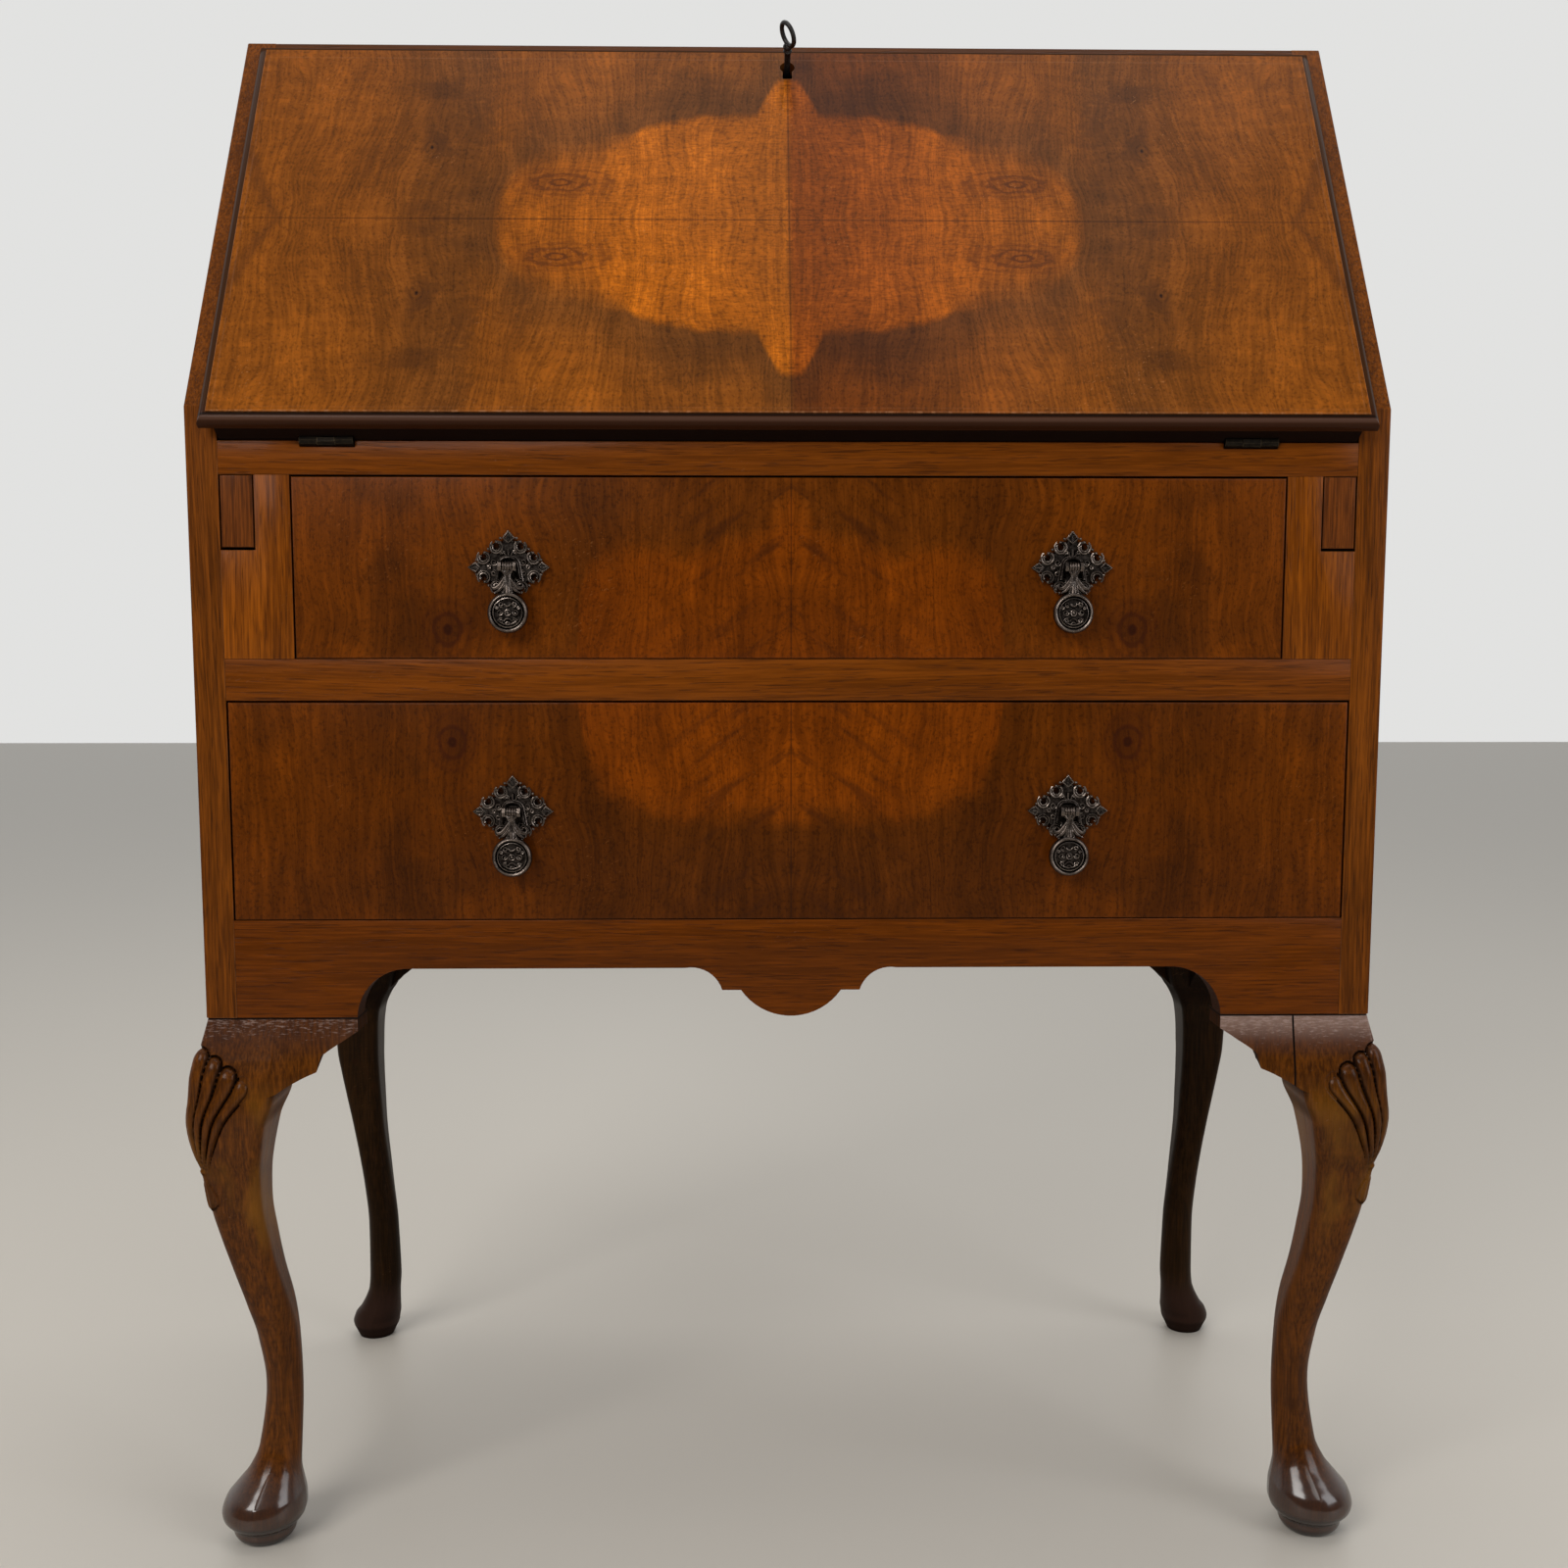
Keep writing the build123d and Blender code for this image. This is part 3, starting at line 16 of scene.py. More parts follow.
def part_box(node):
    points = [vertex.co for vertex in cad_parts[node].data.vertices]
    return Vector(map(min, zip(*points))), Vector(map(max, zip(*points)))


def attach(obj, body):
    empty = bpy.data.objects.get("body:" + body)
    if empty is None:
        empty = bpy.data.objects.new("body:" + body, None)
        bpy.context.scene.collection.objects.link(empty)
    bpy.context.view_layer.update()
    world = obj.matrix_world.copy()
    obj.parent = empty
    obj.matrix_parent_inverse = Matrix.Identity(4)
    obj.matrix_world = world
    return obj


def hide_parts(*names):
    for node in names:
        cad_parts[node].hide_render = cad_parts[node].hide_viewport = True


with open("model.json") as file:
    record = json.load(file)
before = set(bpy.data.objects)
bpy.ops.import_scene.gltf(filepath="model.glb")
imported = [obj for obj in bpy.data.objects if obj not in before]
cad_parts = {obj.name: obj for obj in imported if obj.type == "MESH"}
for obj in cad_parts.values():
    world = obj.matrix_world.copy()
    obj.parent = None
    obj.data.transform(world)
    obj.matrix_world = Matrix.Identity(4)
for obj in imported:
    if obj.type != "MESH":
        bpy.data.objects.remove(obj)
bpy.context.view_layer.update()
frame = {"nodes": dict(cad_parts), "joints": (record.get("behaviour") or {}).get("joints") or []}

nodes = frame["nodes"]
joints = {joint["name"]: joint for joint in frame["joints"]}

# %% [markdown]
# ## Sizes
# The carcass gives its own planes. The fall leans, so it gets a flat frame of its own: across,
# up the slope from the hinge axis, and out of its face. The hinge and the lock bolt's slide
# already know that frame, so it is read from them instead of being typed again.

# %% Read the sizes from the frame
MM = 0.001
side_low, side_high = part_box("side_right")
half_width = side_high.x
front = side_low.y
back = side_high.y
carcass_foot = side_low.z
carcass_top = side_high.z
hinge_at = Vector(joints["fall_hinge"]["pos_m"])
up_slope = Vector(joints["bolt_throw"]["axis"])
out_face = Vector((1, 0, 0)).cross(up_slope)
slope = math.atan2(up_slope.z, up_slope.y)


def reach(node, direction):
    """Nearest and farthest point of a CAD node from the hinge axis, along a direction."""
    steps = [(vertex.co - hinge_at).dot(direction) for vertex in nodes[node].data.vertices]
    return min(steps), max(steps)


fall_foot, fall_head = reach("fall_edging", up_slope)
lip_back, fall_thick = reach("fall_edging", out_face)
fall_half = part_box("fall_edging")[1].x
panel_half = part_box("fall_panel")[1].x
panel_head = reach("fall_panel", up_slope)[1]
print("slope", round(math.degrees(slope), 2), "fall", round(fall_head, 4), "by", round(2 * fall_half, 4))

# %% [markdown]
# ## Camera
# The photograph was taken from a little above the drawers, close in, looking slightly down.
# Its lens, height and tilt were worked out from the carcass corners. The lens shift is what is
# left when the picture was cropped off centre.

# %% Place the camera
CAMERA_LENS = 37.125
CAMERA_BACK = 1.042
CAMERA_HEIGHT = 0.5917
CAMERA_ASIDE = -0.0226
CAMERA_TILT = 0.1046
CAMERA_TURN = -0.0173
CAMERA_SHIFT = 0.0354

camera = bpy.data.objects.new("camera", bpy.data.cameras.new("camera"))
camera.data.lens = CAMERA_LENS
camera.data.shift_y = CAMERA_SHIFT
camera.location = (CAMERA_ASIDE, front - CAMERA_BACK, CAMERA_HEIGHT)
camera.rotation_euler = (math.pi / 2 - CAMERA_TILT, 0, CAMERA_TURN)
bpy.context.scene.collection.objects.link(camera)
bpy.context.scene.camera = camera
print("camera at", [round(value, 3) for value in camera.location])

# %% [markdown]
# ## Light
# A room with a large window gives soft light from the front left and a paler fill from the
# right. Two broad area lamps and a pale world stand for it. The view transform is Standard, so
# that a colour shows about as it is written.

# %% Light the room
BACKDROP = (0.76, 0.76, 0.75)
WORLD_LEVEL = 0.62


def area_lamp(name, place, aim, size, power, colour):
    lamp = bpy.data.lights.new(name, "AREA")
    lamp.shape = "RECTANGLE"
    lamp.size, lamp.size_y = size
    lamp.energy = power
    lamp.color = colour
    holder = bpy.data.objects.new(name, lamp)
    holder.location = place
    holder.rotation_euler = (Vector(aim) - Vector(place)).to_track_quat("-Z", "Y").to_euler()
    bpy.context.scene.collection.objects.link(holder)
    print(name, "lamp,", power, "watts")


bpy.context.scene.view_settings.view_transform = "Standard"
area_lamp("window", (-1.6, -2.4, 2.3), (0, 0, 0.6), (1.8, 1.4), 58, (1.0, 0.98, 0.95))
area_lamp("fill", (2.2, -1.6, 1.5), (0, 0, 0.5), (1.4, 1.6), 24, (0.95, 0.97, 1.0))
area_lamp("ceiling", (0.2, 0.3, 3.0), (0, 0, 0.4), (2.2, 2.2), 26, (1.0, 0.99, 0.97))

# %% [markdown]
# ## Writing materials as short sentences
# A material is a small network of nodes. Typing every link by hand hides what the network says,
# so a helper adds a node, fills its inputs and gives back the socket that comes out of it. Its
# short words, such as times, step, band and stain, are the ones that the finishes below use most.
# Anything that several finishes share becomes a node group with named inputs and outputs.

# %% A helper that wires nodes
class Wiring:
    """Adds nodes to one tree. An input is a value or the socket that feeds it."""

    def __init__(self, tree):
        self.tree = tree

    def add(self, kind, inputs=None, **settings):
        node = self.tree.nodes.new(kind)
        for name, value in settings.items():
            setattr(node, name, value)
        for name, value in (inputs or {}).items():
            self.feed(node.inputs[name], value)
        return node

    def feed(self, socket, value):
        if isinstance(value, bpy.types.NodeSocket):
            self.tree.links.new(value, socket)
        else:
            socket.default_value = value

    def math(self, operation, *values):
        node = self.add("ShaderNodeMath", dict(enumerate(values)), operation=operation)
        return node.outputs[0]

    def plus(self, first, second):
        return self.math("ADD", first, second)

    def minus(self, first, second):
        return self.math("SUBTRACT", first, second)

    def apart(self, first, second):
        return self.math("ABSOLUTE", self.minus(first, second))

    def most(self, first, second):
        return self.math("MAXIMUM", first, second)

    def times(self, *values):
        product = values[0]
        for value in values[1:]:
            product = self.math("MULTIPLY", product, value)
        return product

    def times_plus(self, value, factor, more):
        return self.math("MULTIPLY_ADD", value, factor, more)

    def vector(self, operation, *values):
        node = self.add("ShaderNodeVectorMath", dict(enumerate(values)), operation=operation)
        return node.outputs[1 if operation in ("LENGTH", "DOT_PRODUCT") else 0]

    def split(self, vector):
        node = self.add("ShaderNodeSeparateXYZ", {"Vector": vector})
        return node.outputs[0], node.outputs[1], node.outputs[2]

    def join(self, x, y, z):
        return self.add("ShaderNodeCombineXYZ", {"X": x, "Y": y, "Z": z}).outputs[0]

    def noise(self, place, waves, detail=2.0, roughness=0.5):
        """Cloudy noise with its own number of waves to a metre along each axis."""
        stretched = self.vector("MULTIPLY", place, waves)
        inputs = {"Vector": stretched, "Scale": 1.0, "Detail": detail, "Roughness": roughness}
        return self.add("ShaderNodeTexNoise", inputs).outputs[0]

    def step(self, value, low, high, start=0.0, end=1.0):
        """A value that passes smoothly from start to end between two levels."""
        inputs = {"Value": value, 1: low, 2: high, 3: start, 4: end}
        return self.add("ShaderNodeMapRange", inputs, interpolation_type="SMOOTHSTEP").outputs[0]

    def band(self, value, low, full, ebb, gone):
        """One from full to ebb, with a smooth fall to zero at low and at gone."""
        return self.times(self.step(value, low, full), self.step(value, gone, ebb))

    def blend(self, amount, first, second, kind="MIX"):
        node = self.add("ShaderNodeMix", data_type="RGBA", blend_type=kind)
        self.feed(node.inputs[0], amount)
        self.feed(node.inputs[6], first)
        self.feed(node.inputs[7], second)
        return node.outputs[2]

    def stain(self, colour, mask, strength, tint):
        """Lays a tint over a colour where a mask says so."""
        return self.blend(self.times(mask, strength), colour, tint)

    def dim(self, colour, share):
        """A colour times a share, or times another colour."""
        return self.blend(1.0, colour, share, "MULTIPLY")

    def curve(self, value, points):
        """A value read off a drawn curve, through points from 0 to 1."""
        node = self.add("ShaderNodeFloatCurve", {"Value": value})
        line = node.mapping.curves[0]
        line.points[0].location = points[0]
        line.points[1].location = points[-1]
        for place in points[1:-1]:
            line.points.new(*place)
        node.mapping.update()
        return node.outputs[0]

    def group(self, tree, **inputs):
        node = self.tree.nodes.new("ShaderNodeGroup")
        node.node_tree = tree
        for name, value in inputs.items():
            self.feed(node.inputs[name.replace("_", " ")], value)
        return node.outputs


def new_group(name, inputs, outputs):
    """An empty node group, with its wiring, its inputs and its output node."""
    tree = bpy.data.node_groups.new(name, "ShaderNodeTree")
    for label, kind, value in inputs:
        socket = tree.interface.new_socket(label, in_out="INPUT", socket_type="NodeSocket" + kind)
        socket.default_value = value
    for label, kind in outputs:
        tree.interface.new_socket(label, in_out="OUTPUT", socket_type="NodeSocket" + kind)
    wiring = Wiring(tree)
    given = wiring.add("NodeGroupInput").outputs
    result = wiring.add("NodeGroupOutput").inputs
    return tree, wiring, given, result


def tone(red, green, blue):
    """A colour as a paint chart gives it, from 0 to 255, in the linear numbers that nodes use."""
    parts = [value / 255 for value in (red, green, blue)]
    return (*[part / 12.92 if part <= 0.04045 else ((part + 0.055) / 1.055) ** 2.4 for part in parts], 1)


print("tone of mid walnut", [round(value, 3) for value in tone(97, 47, 7)])

# %% [markdown]
# ## The world around it
# Polish mirrors the room. Behind the object and overhead the world is pale, and in front of it,
# where the room lies behind the camera, it is dimmer, which keeps the dark wood dark. The
# camera itself sees the plain backdrop colour in every direction.

# %% Light from the world
ROOM_SHARE = 0.22
ROOM_SHARE_IN_POLISH = 0.05


def light_world():
    """Pale behind the object and overhead, dimmer where the room lies behind the camera."""
    world = bpy.data.worlds.new("room")
    bpy.context.scene.world = world
    world.use_nodes = True
    tree = world.node_tree
    tree.nodes.clear()
    w = Wiring(tree)
    path = w.add("ShaderNodeLightPath").outputs
    toward = w.split(w.add("ShaderNodeTexCoord").outputs["Generated"])
    polish = w.times(path["Is Glossy Ray"], ROOM_SHARE_IN_POLISH - ROOM_SHARE)
    room = w.plus(polish, ROOM_SHARE)
    behind = w.step(toward[1], -0.5, 0.5, room, 1.0)
    strength = w.plus(behind, w.step(toward[2], 0.3, 1.0, 0.0, 0.3))
    strength = w.times(strength, w.most(WORLD_LEVEL, path["Is Glossy Ray"]))
    light = w.add("ShaderNodeBackground", {"Color": (*BACKDROP, 1), "Strength": strength})
    seen = w.add("ShaderNodeBackground", {"Color": (*BACKDROP, 1), "Strength": 1.0})
    either = w.most(path["Is Camera Ray"], path["Is Transmission Ray"])
    mix = w.add("ShaderNodeMixShader", {0: either, 1: light.outputs[0], 2: seen.outputs[0]})
    w.add("ShaderNodeOutputWorld", {"Surface": mix.outputs[0]})


light_world()

# %% [markdown]
# ## Effects that several finishes share
# Walnut has long brown streaks, short open pores, and here and there a ripple where the fibres
# wave. One group makes all three from a position whose third number runs along the grain, so
# turning the position turns the wood.

# %% Walnut grain
def grain_group():
    tree, w, given, result = new_group(
        "Walnut grain",
        [
            ("Place", "Vector", (0, 0, 0)),
            ("Light", "Color", (0.3, 0.1, 0.02, 1)),
            ("Dark", "Color", (0.05, 0.015, 0.005, 1)),
            ("Streaks", "Float", 1.0),
            ("Ripple", "Float", 0.0),
            ("Pores", "Float", 1.0),
        ],
        [("Color", "Color"), ("Height", "Float"), ("Sheen", "Float")],
    )
    place = given["Place"]
    drift = w.noise(place, (5, 5, 1.6), 2)
    bent = w.vector("ADD", place, w.join(w.times(drift, 0.03), 0, 0))
    clouds = w.noise(bent, (16, 16, 3), 3, 0.55)
    streaks = w.noise(bent, (190, 190, 6), 4, 0.6)
    fibres = w.noise(bent, (700, 700, 26), 3, 0.65)
    pores = w.noise(bent, (1000, 1000, 48), 1)
    waves = w.noise(place, (26, 26, 330), 2, 0.6)
    mixed = w.plus(w.times(clouds, 0.45), w.times(streaks, 0.4))
    mixed = w.plus(mixed, w.times(fibres, 0.95))
    ripple = w.times(w.minus(waves, 0.5), given["Ripple"])
    level = w.step(w.plus(mixed, ripple), 0.66, 1.22)
    level = w.times_plus(w.minus(level, 0.5), given["Streaks"], 0.5)
    pore_mask = w.times(w.step(pores, 0.40, 0.30), given["Pores"])
    colour = w.blend(level, given["Dark"], given["Light"])
    in_pores = w.blend(0.75, colour, (0.006, 0.003, 0.002, 1))
    colour = w.stain(colour, pore_mask, 0.5, in_pores)
    w.feed(result["Color"], colour)
    height = w.minus(w.times(fibres, 0.35), w.times(pore_mask, 0.6))
    w.feed(result["Height"], height)
    w.feed(result["Sheen"], w.step(streaks, 0.3, 0.7, -0.04, 0.05))
    return tree


walnut_grain = grain_group()
print(walnut_grain.name, len(walnut_grain.nodes), "nodes")

# %% [markdown]
# Old polish wears through along every edge. A Bevel node looks at how far the surface would turn
# if its edges were rounded, and where that differs from the true surface an edge is near. Noise
# breaks the line up, because hands and dusters never wear an edge evenly.

# %% Edge wear, scratches, grime and painted shade
def wear_group():
    tree, w, given, result = new_group(
        "Edge wear",
        [("Place", "Vector", (0, 0, 0)), ("Breadth", "Float", 0.0015), ("Evenness", "Float", 0.5)],
        [("Mask", "Float")],
    )
    rounded = w.add("ShaderNodeBevel", {"Radius": given["Breadth"]}, samples=4).outputs[0]
    true = w.add("ShaderNodeNewGeometry").outputs["Normal"]
    turned = w.minus(1.0, w.vector("DOT_PRODUCT", rounded, true))
    near = w.step(turned, 0.03, 0.22)
    patches = w.noise(given["Place"], (60, 60, 60), 3, 0.6)
    broken = w.step(w.plus(patches, w.minus(given["Evenness"], 0.5)), 0.42, 0.62)
    w.feed(result["Mask"], w.times(near, broken))
    return tree


def scratch_group():
    """Fine light scratches in two directions, gathered in patches."""
    tree, w, given, result = new_group(
        "Scratches",
        [("Place", "Vector", (0, 0, 0)), ("Amount", "Float", 0.5)],
        [("Mask", "Float")],
    )
    patches = w.step(w.noise(given["Place"], (11, 11, 11), 2), 0.52, 0.68)
    lines = 0.0
    for lean, shift in ((0.5, 3.0), (-0.9, 11.0)):
        inputs = {"Vector": given["Place"], "Location": (shift, 0, 0), "Rotation": (lean, lean * 0.7, lean)}
        rotated = w.add("ShaderNodeMapping", inputs).outputs[0]
        lines = w.most(lines, w.step(w.noise(rotated, (55, 900, 900), 0), 0.77, 0.83))
    w.feed(result["Mask"], w.times(lines, patches, given["Amount"]))
    return tree


def dirt_and_shade_group():
    """Dark wax and dust in hollows, and painted shade in gaps and corners, from how little open sky a point
    sees.
    """
    tree, w, given, result = new_group(
        "Dirt and shade in hollows",
        [("Reach", "Float", 0.004), ("Amount", "Float", 1.0)],
        [("Mask", "Float")],
    )
    open_sky = w.add("ShaderNodeAmbientOcclusion", {"Distance": given["Reach"]}, samples=4).outputs["AO"]
    w.feed(result["Mask"], w.times(w.step(open_sky, 0.85, 0.35), given["Amount"]))
    return tree


edge_wear = wear_group()
scratches = scratch_group()
hollow_dirt_and_shade = dirt_and_shade_group()
print("shared effects", [group.name for group in bpy.data.node_groups])

# %% [markdown]
# ## Polished walnut
# A polished board is wood under a thin hard coat. The Principled shader's own coat stands for
# the French polish, its roughness for the wood below. The grain is turned to run along the
# length of the board that wears the material. Two things are true of the level boards alone:
# their sawn undersides never saw polish and are painted dark, which is also painted shade
# under them, and the top board's front edge is painted darker.

# %% Polished walnut boards
WOOD_GLOSS = 0.05
POLISH = 0.05
GRAIN_TURNS = {"x": (0, math.pi / 2, 0), "y": (math.pi / 2, 0, 0), "z": (0, 0, 0)}
APRON_ZONE = 120 * MM
TOP_EDGE_STARTS = 9 * MM
TOP_EDGE_FULL = 7 * MM
RUBBED_WALNUT = tone(128, 82, 50)


def new_material(name):
    material = bpy.data.materials.new(name)
    material.use_nodes = True
    material.node_tree.nodes.clear()
    return material, Wiring(material.node_tree)


def shade(w, colour, roughness, height, depth, coat=0.0, coat_roughness=0.1, metal=0.0):
    """Ends a material: its shader, with the bump, the coat and the output."""
    shader = w.add("ShaderNodeBsdfPrincipled", {"Base Color": colour, "Roughness": roughness})
    shader.inputs["Metallic"].default_value = metal
    shader.inputs["Specular IOR Level"].default_value = 0.5 if metal else WOOD_GLOSS
    w.feed(shader.inputs["Coat Weight"], coat)
    shader.inputs["Coat Roughness"].default_value = coat_roughness
    bump = w.add("ShaderNodeBump", {"Height": height, "Distance": depth})
    w.feed(shader.inputs["Normal"], bump.outputs[0])
    w.add("ShaderNodeOutputMaterial", {"Surface": shader.outputs[0]})
    return shader


def level_board_edges(w, z, colour, roughness):
    """The dull sawn underside near the apron, painted dark as unpolished wood and as shade, and the darker
    front edge of the top board.
    """
    facing = w.split(w.add("ShaderNodeNewGeometry").outputs["Normal"])
    sawn_and_shaded = w.times(w.step(w.math("ABSOLUTE", facing[1]), 0.6, 0.2), w.step(facing[2], 0.7, 0.3))
    sawn_and_shaded = w.times(sawn_and_shaded, w.math("LESS_THAN", z, carcass_foot + APRON_ZONE))
    # Painted shade, and unpolished wood, on the sawn undersides and ends
    colour = w.stain(colour, sawn_and_shaded, 0.8, tone(24, 14, 9))
    # The top board's front edge is painted darker
    along_top = w.step(z, carcass_top - TOP_EDGE_STARTS, carcass_top - TOP_EDGE_FULL, 0.0, 0.55)
    colour = w.blend(along_top, colour, tone(40, 26, 12))
    return colour, w.times_plus(sawn_and_shaded, 0.4, roughness), w.times_plus(sawn_and_shaded, -POLISH, POLISH)


def walnut(name, light, dark, grain="z", wear=0.5, gloss=0.36, offset=0.0):
    """Polished walnut with its grain along one axis. The offset picks another part of the log."""
    material, w = new_material(name)
    place = w.add("ShaderNodeTexCoord").outputs["Object"]
    place = w.vector("ADD", place, (offset, offset * 0.7, offset * 1.3))
    grained = w.add("ShaderNodeMapping", {"Vector": place, "Rotation": GRAIN_TURNS[grain]}).outputs[0]
    streaks = 0.7 if grain == "x" else 1.0
    wood = w.group(walnut_grain, Place=grained, Light=tone(*light), Dark=tone(*dark), Streaks=streaks)
    edge = w.group(edge_wear, Place=place, Breadth=0.0012, Evenness=wear)["Mask"]
    marks = w.group(scratches, Place=place, Amount=0.5)["Mask"]
    dirt_and_shade = w.group(hollow_dirt_and_shade, Reach=0.006, Amount=0.7)["Mask"]
    colour = w.stain(wood["Color"], edge, 0.75, RUBBED_WALNUT)
    colour = w.stain(colour, marks, 0.5, RUBBED_WALNUT)
    # Painted shade in the gaps round the drawers and in other hollows, with some wax and dust
    colour = w.blend(dirt_and_shade, colour, tone(16, 8, 5))
    roughness = w.plus(w.plus(wood["Sheen"], gloss), w.times(edge, 0.15))
    coat = POLISH
    if grain == "x":
        z = w.minus(w.split(place)[2], offset * 1.3)
        colour, roughness, coat = level_board_edges(w, z, colour, roughness)
    shade(w, colour, roughness, wood["Height"], 0.00025, coat=coat, coat_roughness=0.16)
    print(name, "with its grain along", grain)
    return material


carcass_upright = walnut("carcass_upright", (132, 70, 14), (80, 40, 7))
stile_wood = walnut("stile_wood", (154, 82, 14), (94, 46, 7), offset=0.47)
carcass_level = walnut("carcass_level", (134, 69, 11), (84, 40, 5), "x", offset=0.31)
# The apron wears a darker copy of the level boards' walnut, as painted shade on the low board
apron_wood_shaded = walnut("apron_wood_shaded", (120, 59, 8), (74, 34, 4), "x", offset=0.77)
loper_wood = walnut("loper_wood", (134, 71, 23), (76, 38, 14), wear=0.75, gloss=0.45, offset=0.12)

# %% [markdown]
# ## Book-matched veneer
# The fall is faced with four leaves cut one after another from the same stump and opened like a
# book, so the figure is mirrored across both joints. A drawer front has two such leaves. The
# mirror is plain arithmetic: the position is measured from the joint and its sign is dropped.
# The bright heart of the figure has a drawn outline, kept as a curve that gives its height at
# each distance from the joint.

# %% Figured veneer
def veneer_group():
    """Figured walnut in one leaf: X is the distance from the upright joint, Z runs up."""
    tree, w, given, result = new_group(
        "Figured veneer",
        [
            ("Leaf", "Vector", (0, 0, 0)),
            ("Heart", "Float", 0.0),
            ("Smoke", "Float", 0.0),
            ("Ripple", "Float", 1.0),
            ("Heart tone", "Color", tone(174, 93, 12)),
            ("Field tone", "Color", tone(136, 74, 15)),
            ("Smoke tone", "Color", tone(104, 59, 19)),
        ],
        [("Color", "Color"), ("Height", "Float"), ("Sheen", "Float")],
    )
    leaf = given["Leaf"]
    drift = w.noise(leaf, (8, 8, 5), 3)
    across, out, up = w.split(leaf)
    bent = w.plus(across, w.times(drift, 0.07))
    place = w.join(bent, out, up)
    clouds = w.noise(place, (13, 13, 8), 3, 0.55)
    hair = w.noise(place, (430, 430, 14), 3, 0.62)
    waved = w.join(across, out, w.times_plus(drift, 0.04, up))
    bars = w.noise(waved, (24, 24, 190), 3, 0.6)
    dashes = w.noise(leaf, (150, 150, 620), 2, 0.6)
    pepper = w.noise(place, (620, 620, 420), 2, 0.6)
    figure = w.noise(place, (40, 40, 17), 5, 0.68)
    swirl = w.noise(leaf, (7, 7, 6), 2)
    growth = w.math("SINE", w.times(w.times_plus(swirl, 0.26, across), 420.0))
    base = w.blend(given["Smoke"], given["Field tone"], given["Smoke tone"])
    base = w.blend(given["Heart"], base, given["Heart tone"])
    cloudy = w.step(clouds, 0.30, 0.70, 0.80, 1.14)
    veined = w.step(figure, 0.34, 0.64, 0.80, 1.12)
    streaky = w.step(hair, 0.32, 0.68, 0.76, 1.15)
    grown = w.step(w.times(growth, w.step(figure, 0.42, 0.56)), -1.0, 0.6, 0.90, 1.02)
    rippled = w.blend(given["Ripple"], (1, 1, 1, 1), w.step(bars, 0.34, 0.66, 0.90, 1.08))
    dashed = w.blend(given["Heart"], (1, 1, 1, 1), w.step(dashes, 0.32, 0.6, 0.74, 1.10))
    dashed = w.blend(given["Ripple"], (1, 1, 1, 1), dashed)
    speckled = w.step(pepper, 0.3, 0.52, 0.68, 1.07)
    for level in (cloudy, veined, streaky, grown, rippled, dashed, speckled):
        base = w.blend(1.0, base, level, "MULTIPLY")
    w.feed(result["Color"], base)
    w.feed(result["Height"], w.times_plus(hair, 0.4, w.times(pepper, 0.5)))
    w.feed(result["Sheen"], w.step(clouds, 0.3, 0.7, 0.04, -0.04))
    return tree


def knot_group():
    """A knot: how dark its centre is, and rings of darker wood that lie round it."""
    tree, w, given, result = new_group(
        "Knot",
        [
            ("Leaf", "Vector", (0, 0, 0)),
            ("Centre", "Vector", (0, 0, 0)),
            ("Size", "Vector", (1, 1, 1)),
            ("Wobble", "Float", 0.9),
        ],
        [("Core", "Float"), ("Rings", "Float")],
    )
    away = w.vector("DIVIDE", w.vector("SUBTRACT", given["Leaf"], given["Centre"]), given["Size"])
    wobble = w.minus(w.noise(given["Leaf"], (70, 70, 150), 3, 0.6), 0.5)
    distance = w.plus(w.vector("LENGTH", away), w.times(wobble, given["Wobble"]))
    w.feed(result["Core"], w.step(distance, 0.36, 0.16))
    rings = w.step(w.math("SINE", w.times(distance, 8.0)), -0.2, 1.0)
    halo = w.step(distance, 2.8, 0.3)
    w.feed(result["Rings"], w.times(w.times_plus(rings, 0.6, 0.4), halo))
    return tree


figured_veneer = veneer_group()
knot = knot_group()
print("veneer groups", figured_veneer.name, knot.name)

# %% [markdown]
# ## The fall's own pattern
# Its bright heart is a long lobed shape round the crossing of the four leaves. Outside it lies a
# smoky band, then the plain field. The outline wanders a little with two noises, one for its
# lobes and one for the fringe that the fibres give it.

# %% Heart of the fall
# The heart's outline above and below the level joint: distance from the upright joint, then
# height from the level joint, both as shares of the board's half width and half height
HEART_SHARES = (
    (0.0, 0.80), (0.020, 0.77), (0.045, 0.655), (0.070, 0.575), (0.18, 0.56), (0.25, 0.52),
    (0.30, 0.43), (0.35, 0.37), (0.44, 0.32), (0.485, 0.26), (0.513, 0.17), (0.53, 0.12), (1.0, 0.10),
)
# Where the heart ends, measured from the upright joint
HEART_TIP = 192 * MM
TIP_BLUR = 7 * MM
# The level joint lies this far above the middle of the board
JOINT_RISE = 1.5 * MM


def fall_place(w):
    """Position on the fall: across, out of its face, and up the slope."""
    place = w.add("ShaderNodeTexCoord").outputs["Object"]
    from_hinge = w.vector("SUBTRACT", place, tuple(hinge_at))
    inputs = {"Vector": from_hinge, "Angle": -slope}
    level = w.add("ShaderNodeVectorRotate", inputs, rotation_type="X_AXIS")
    across, up, out = w.split(level.outputs[0])
    return across, out, up, place


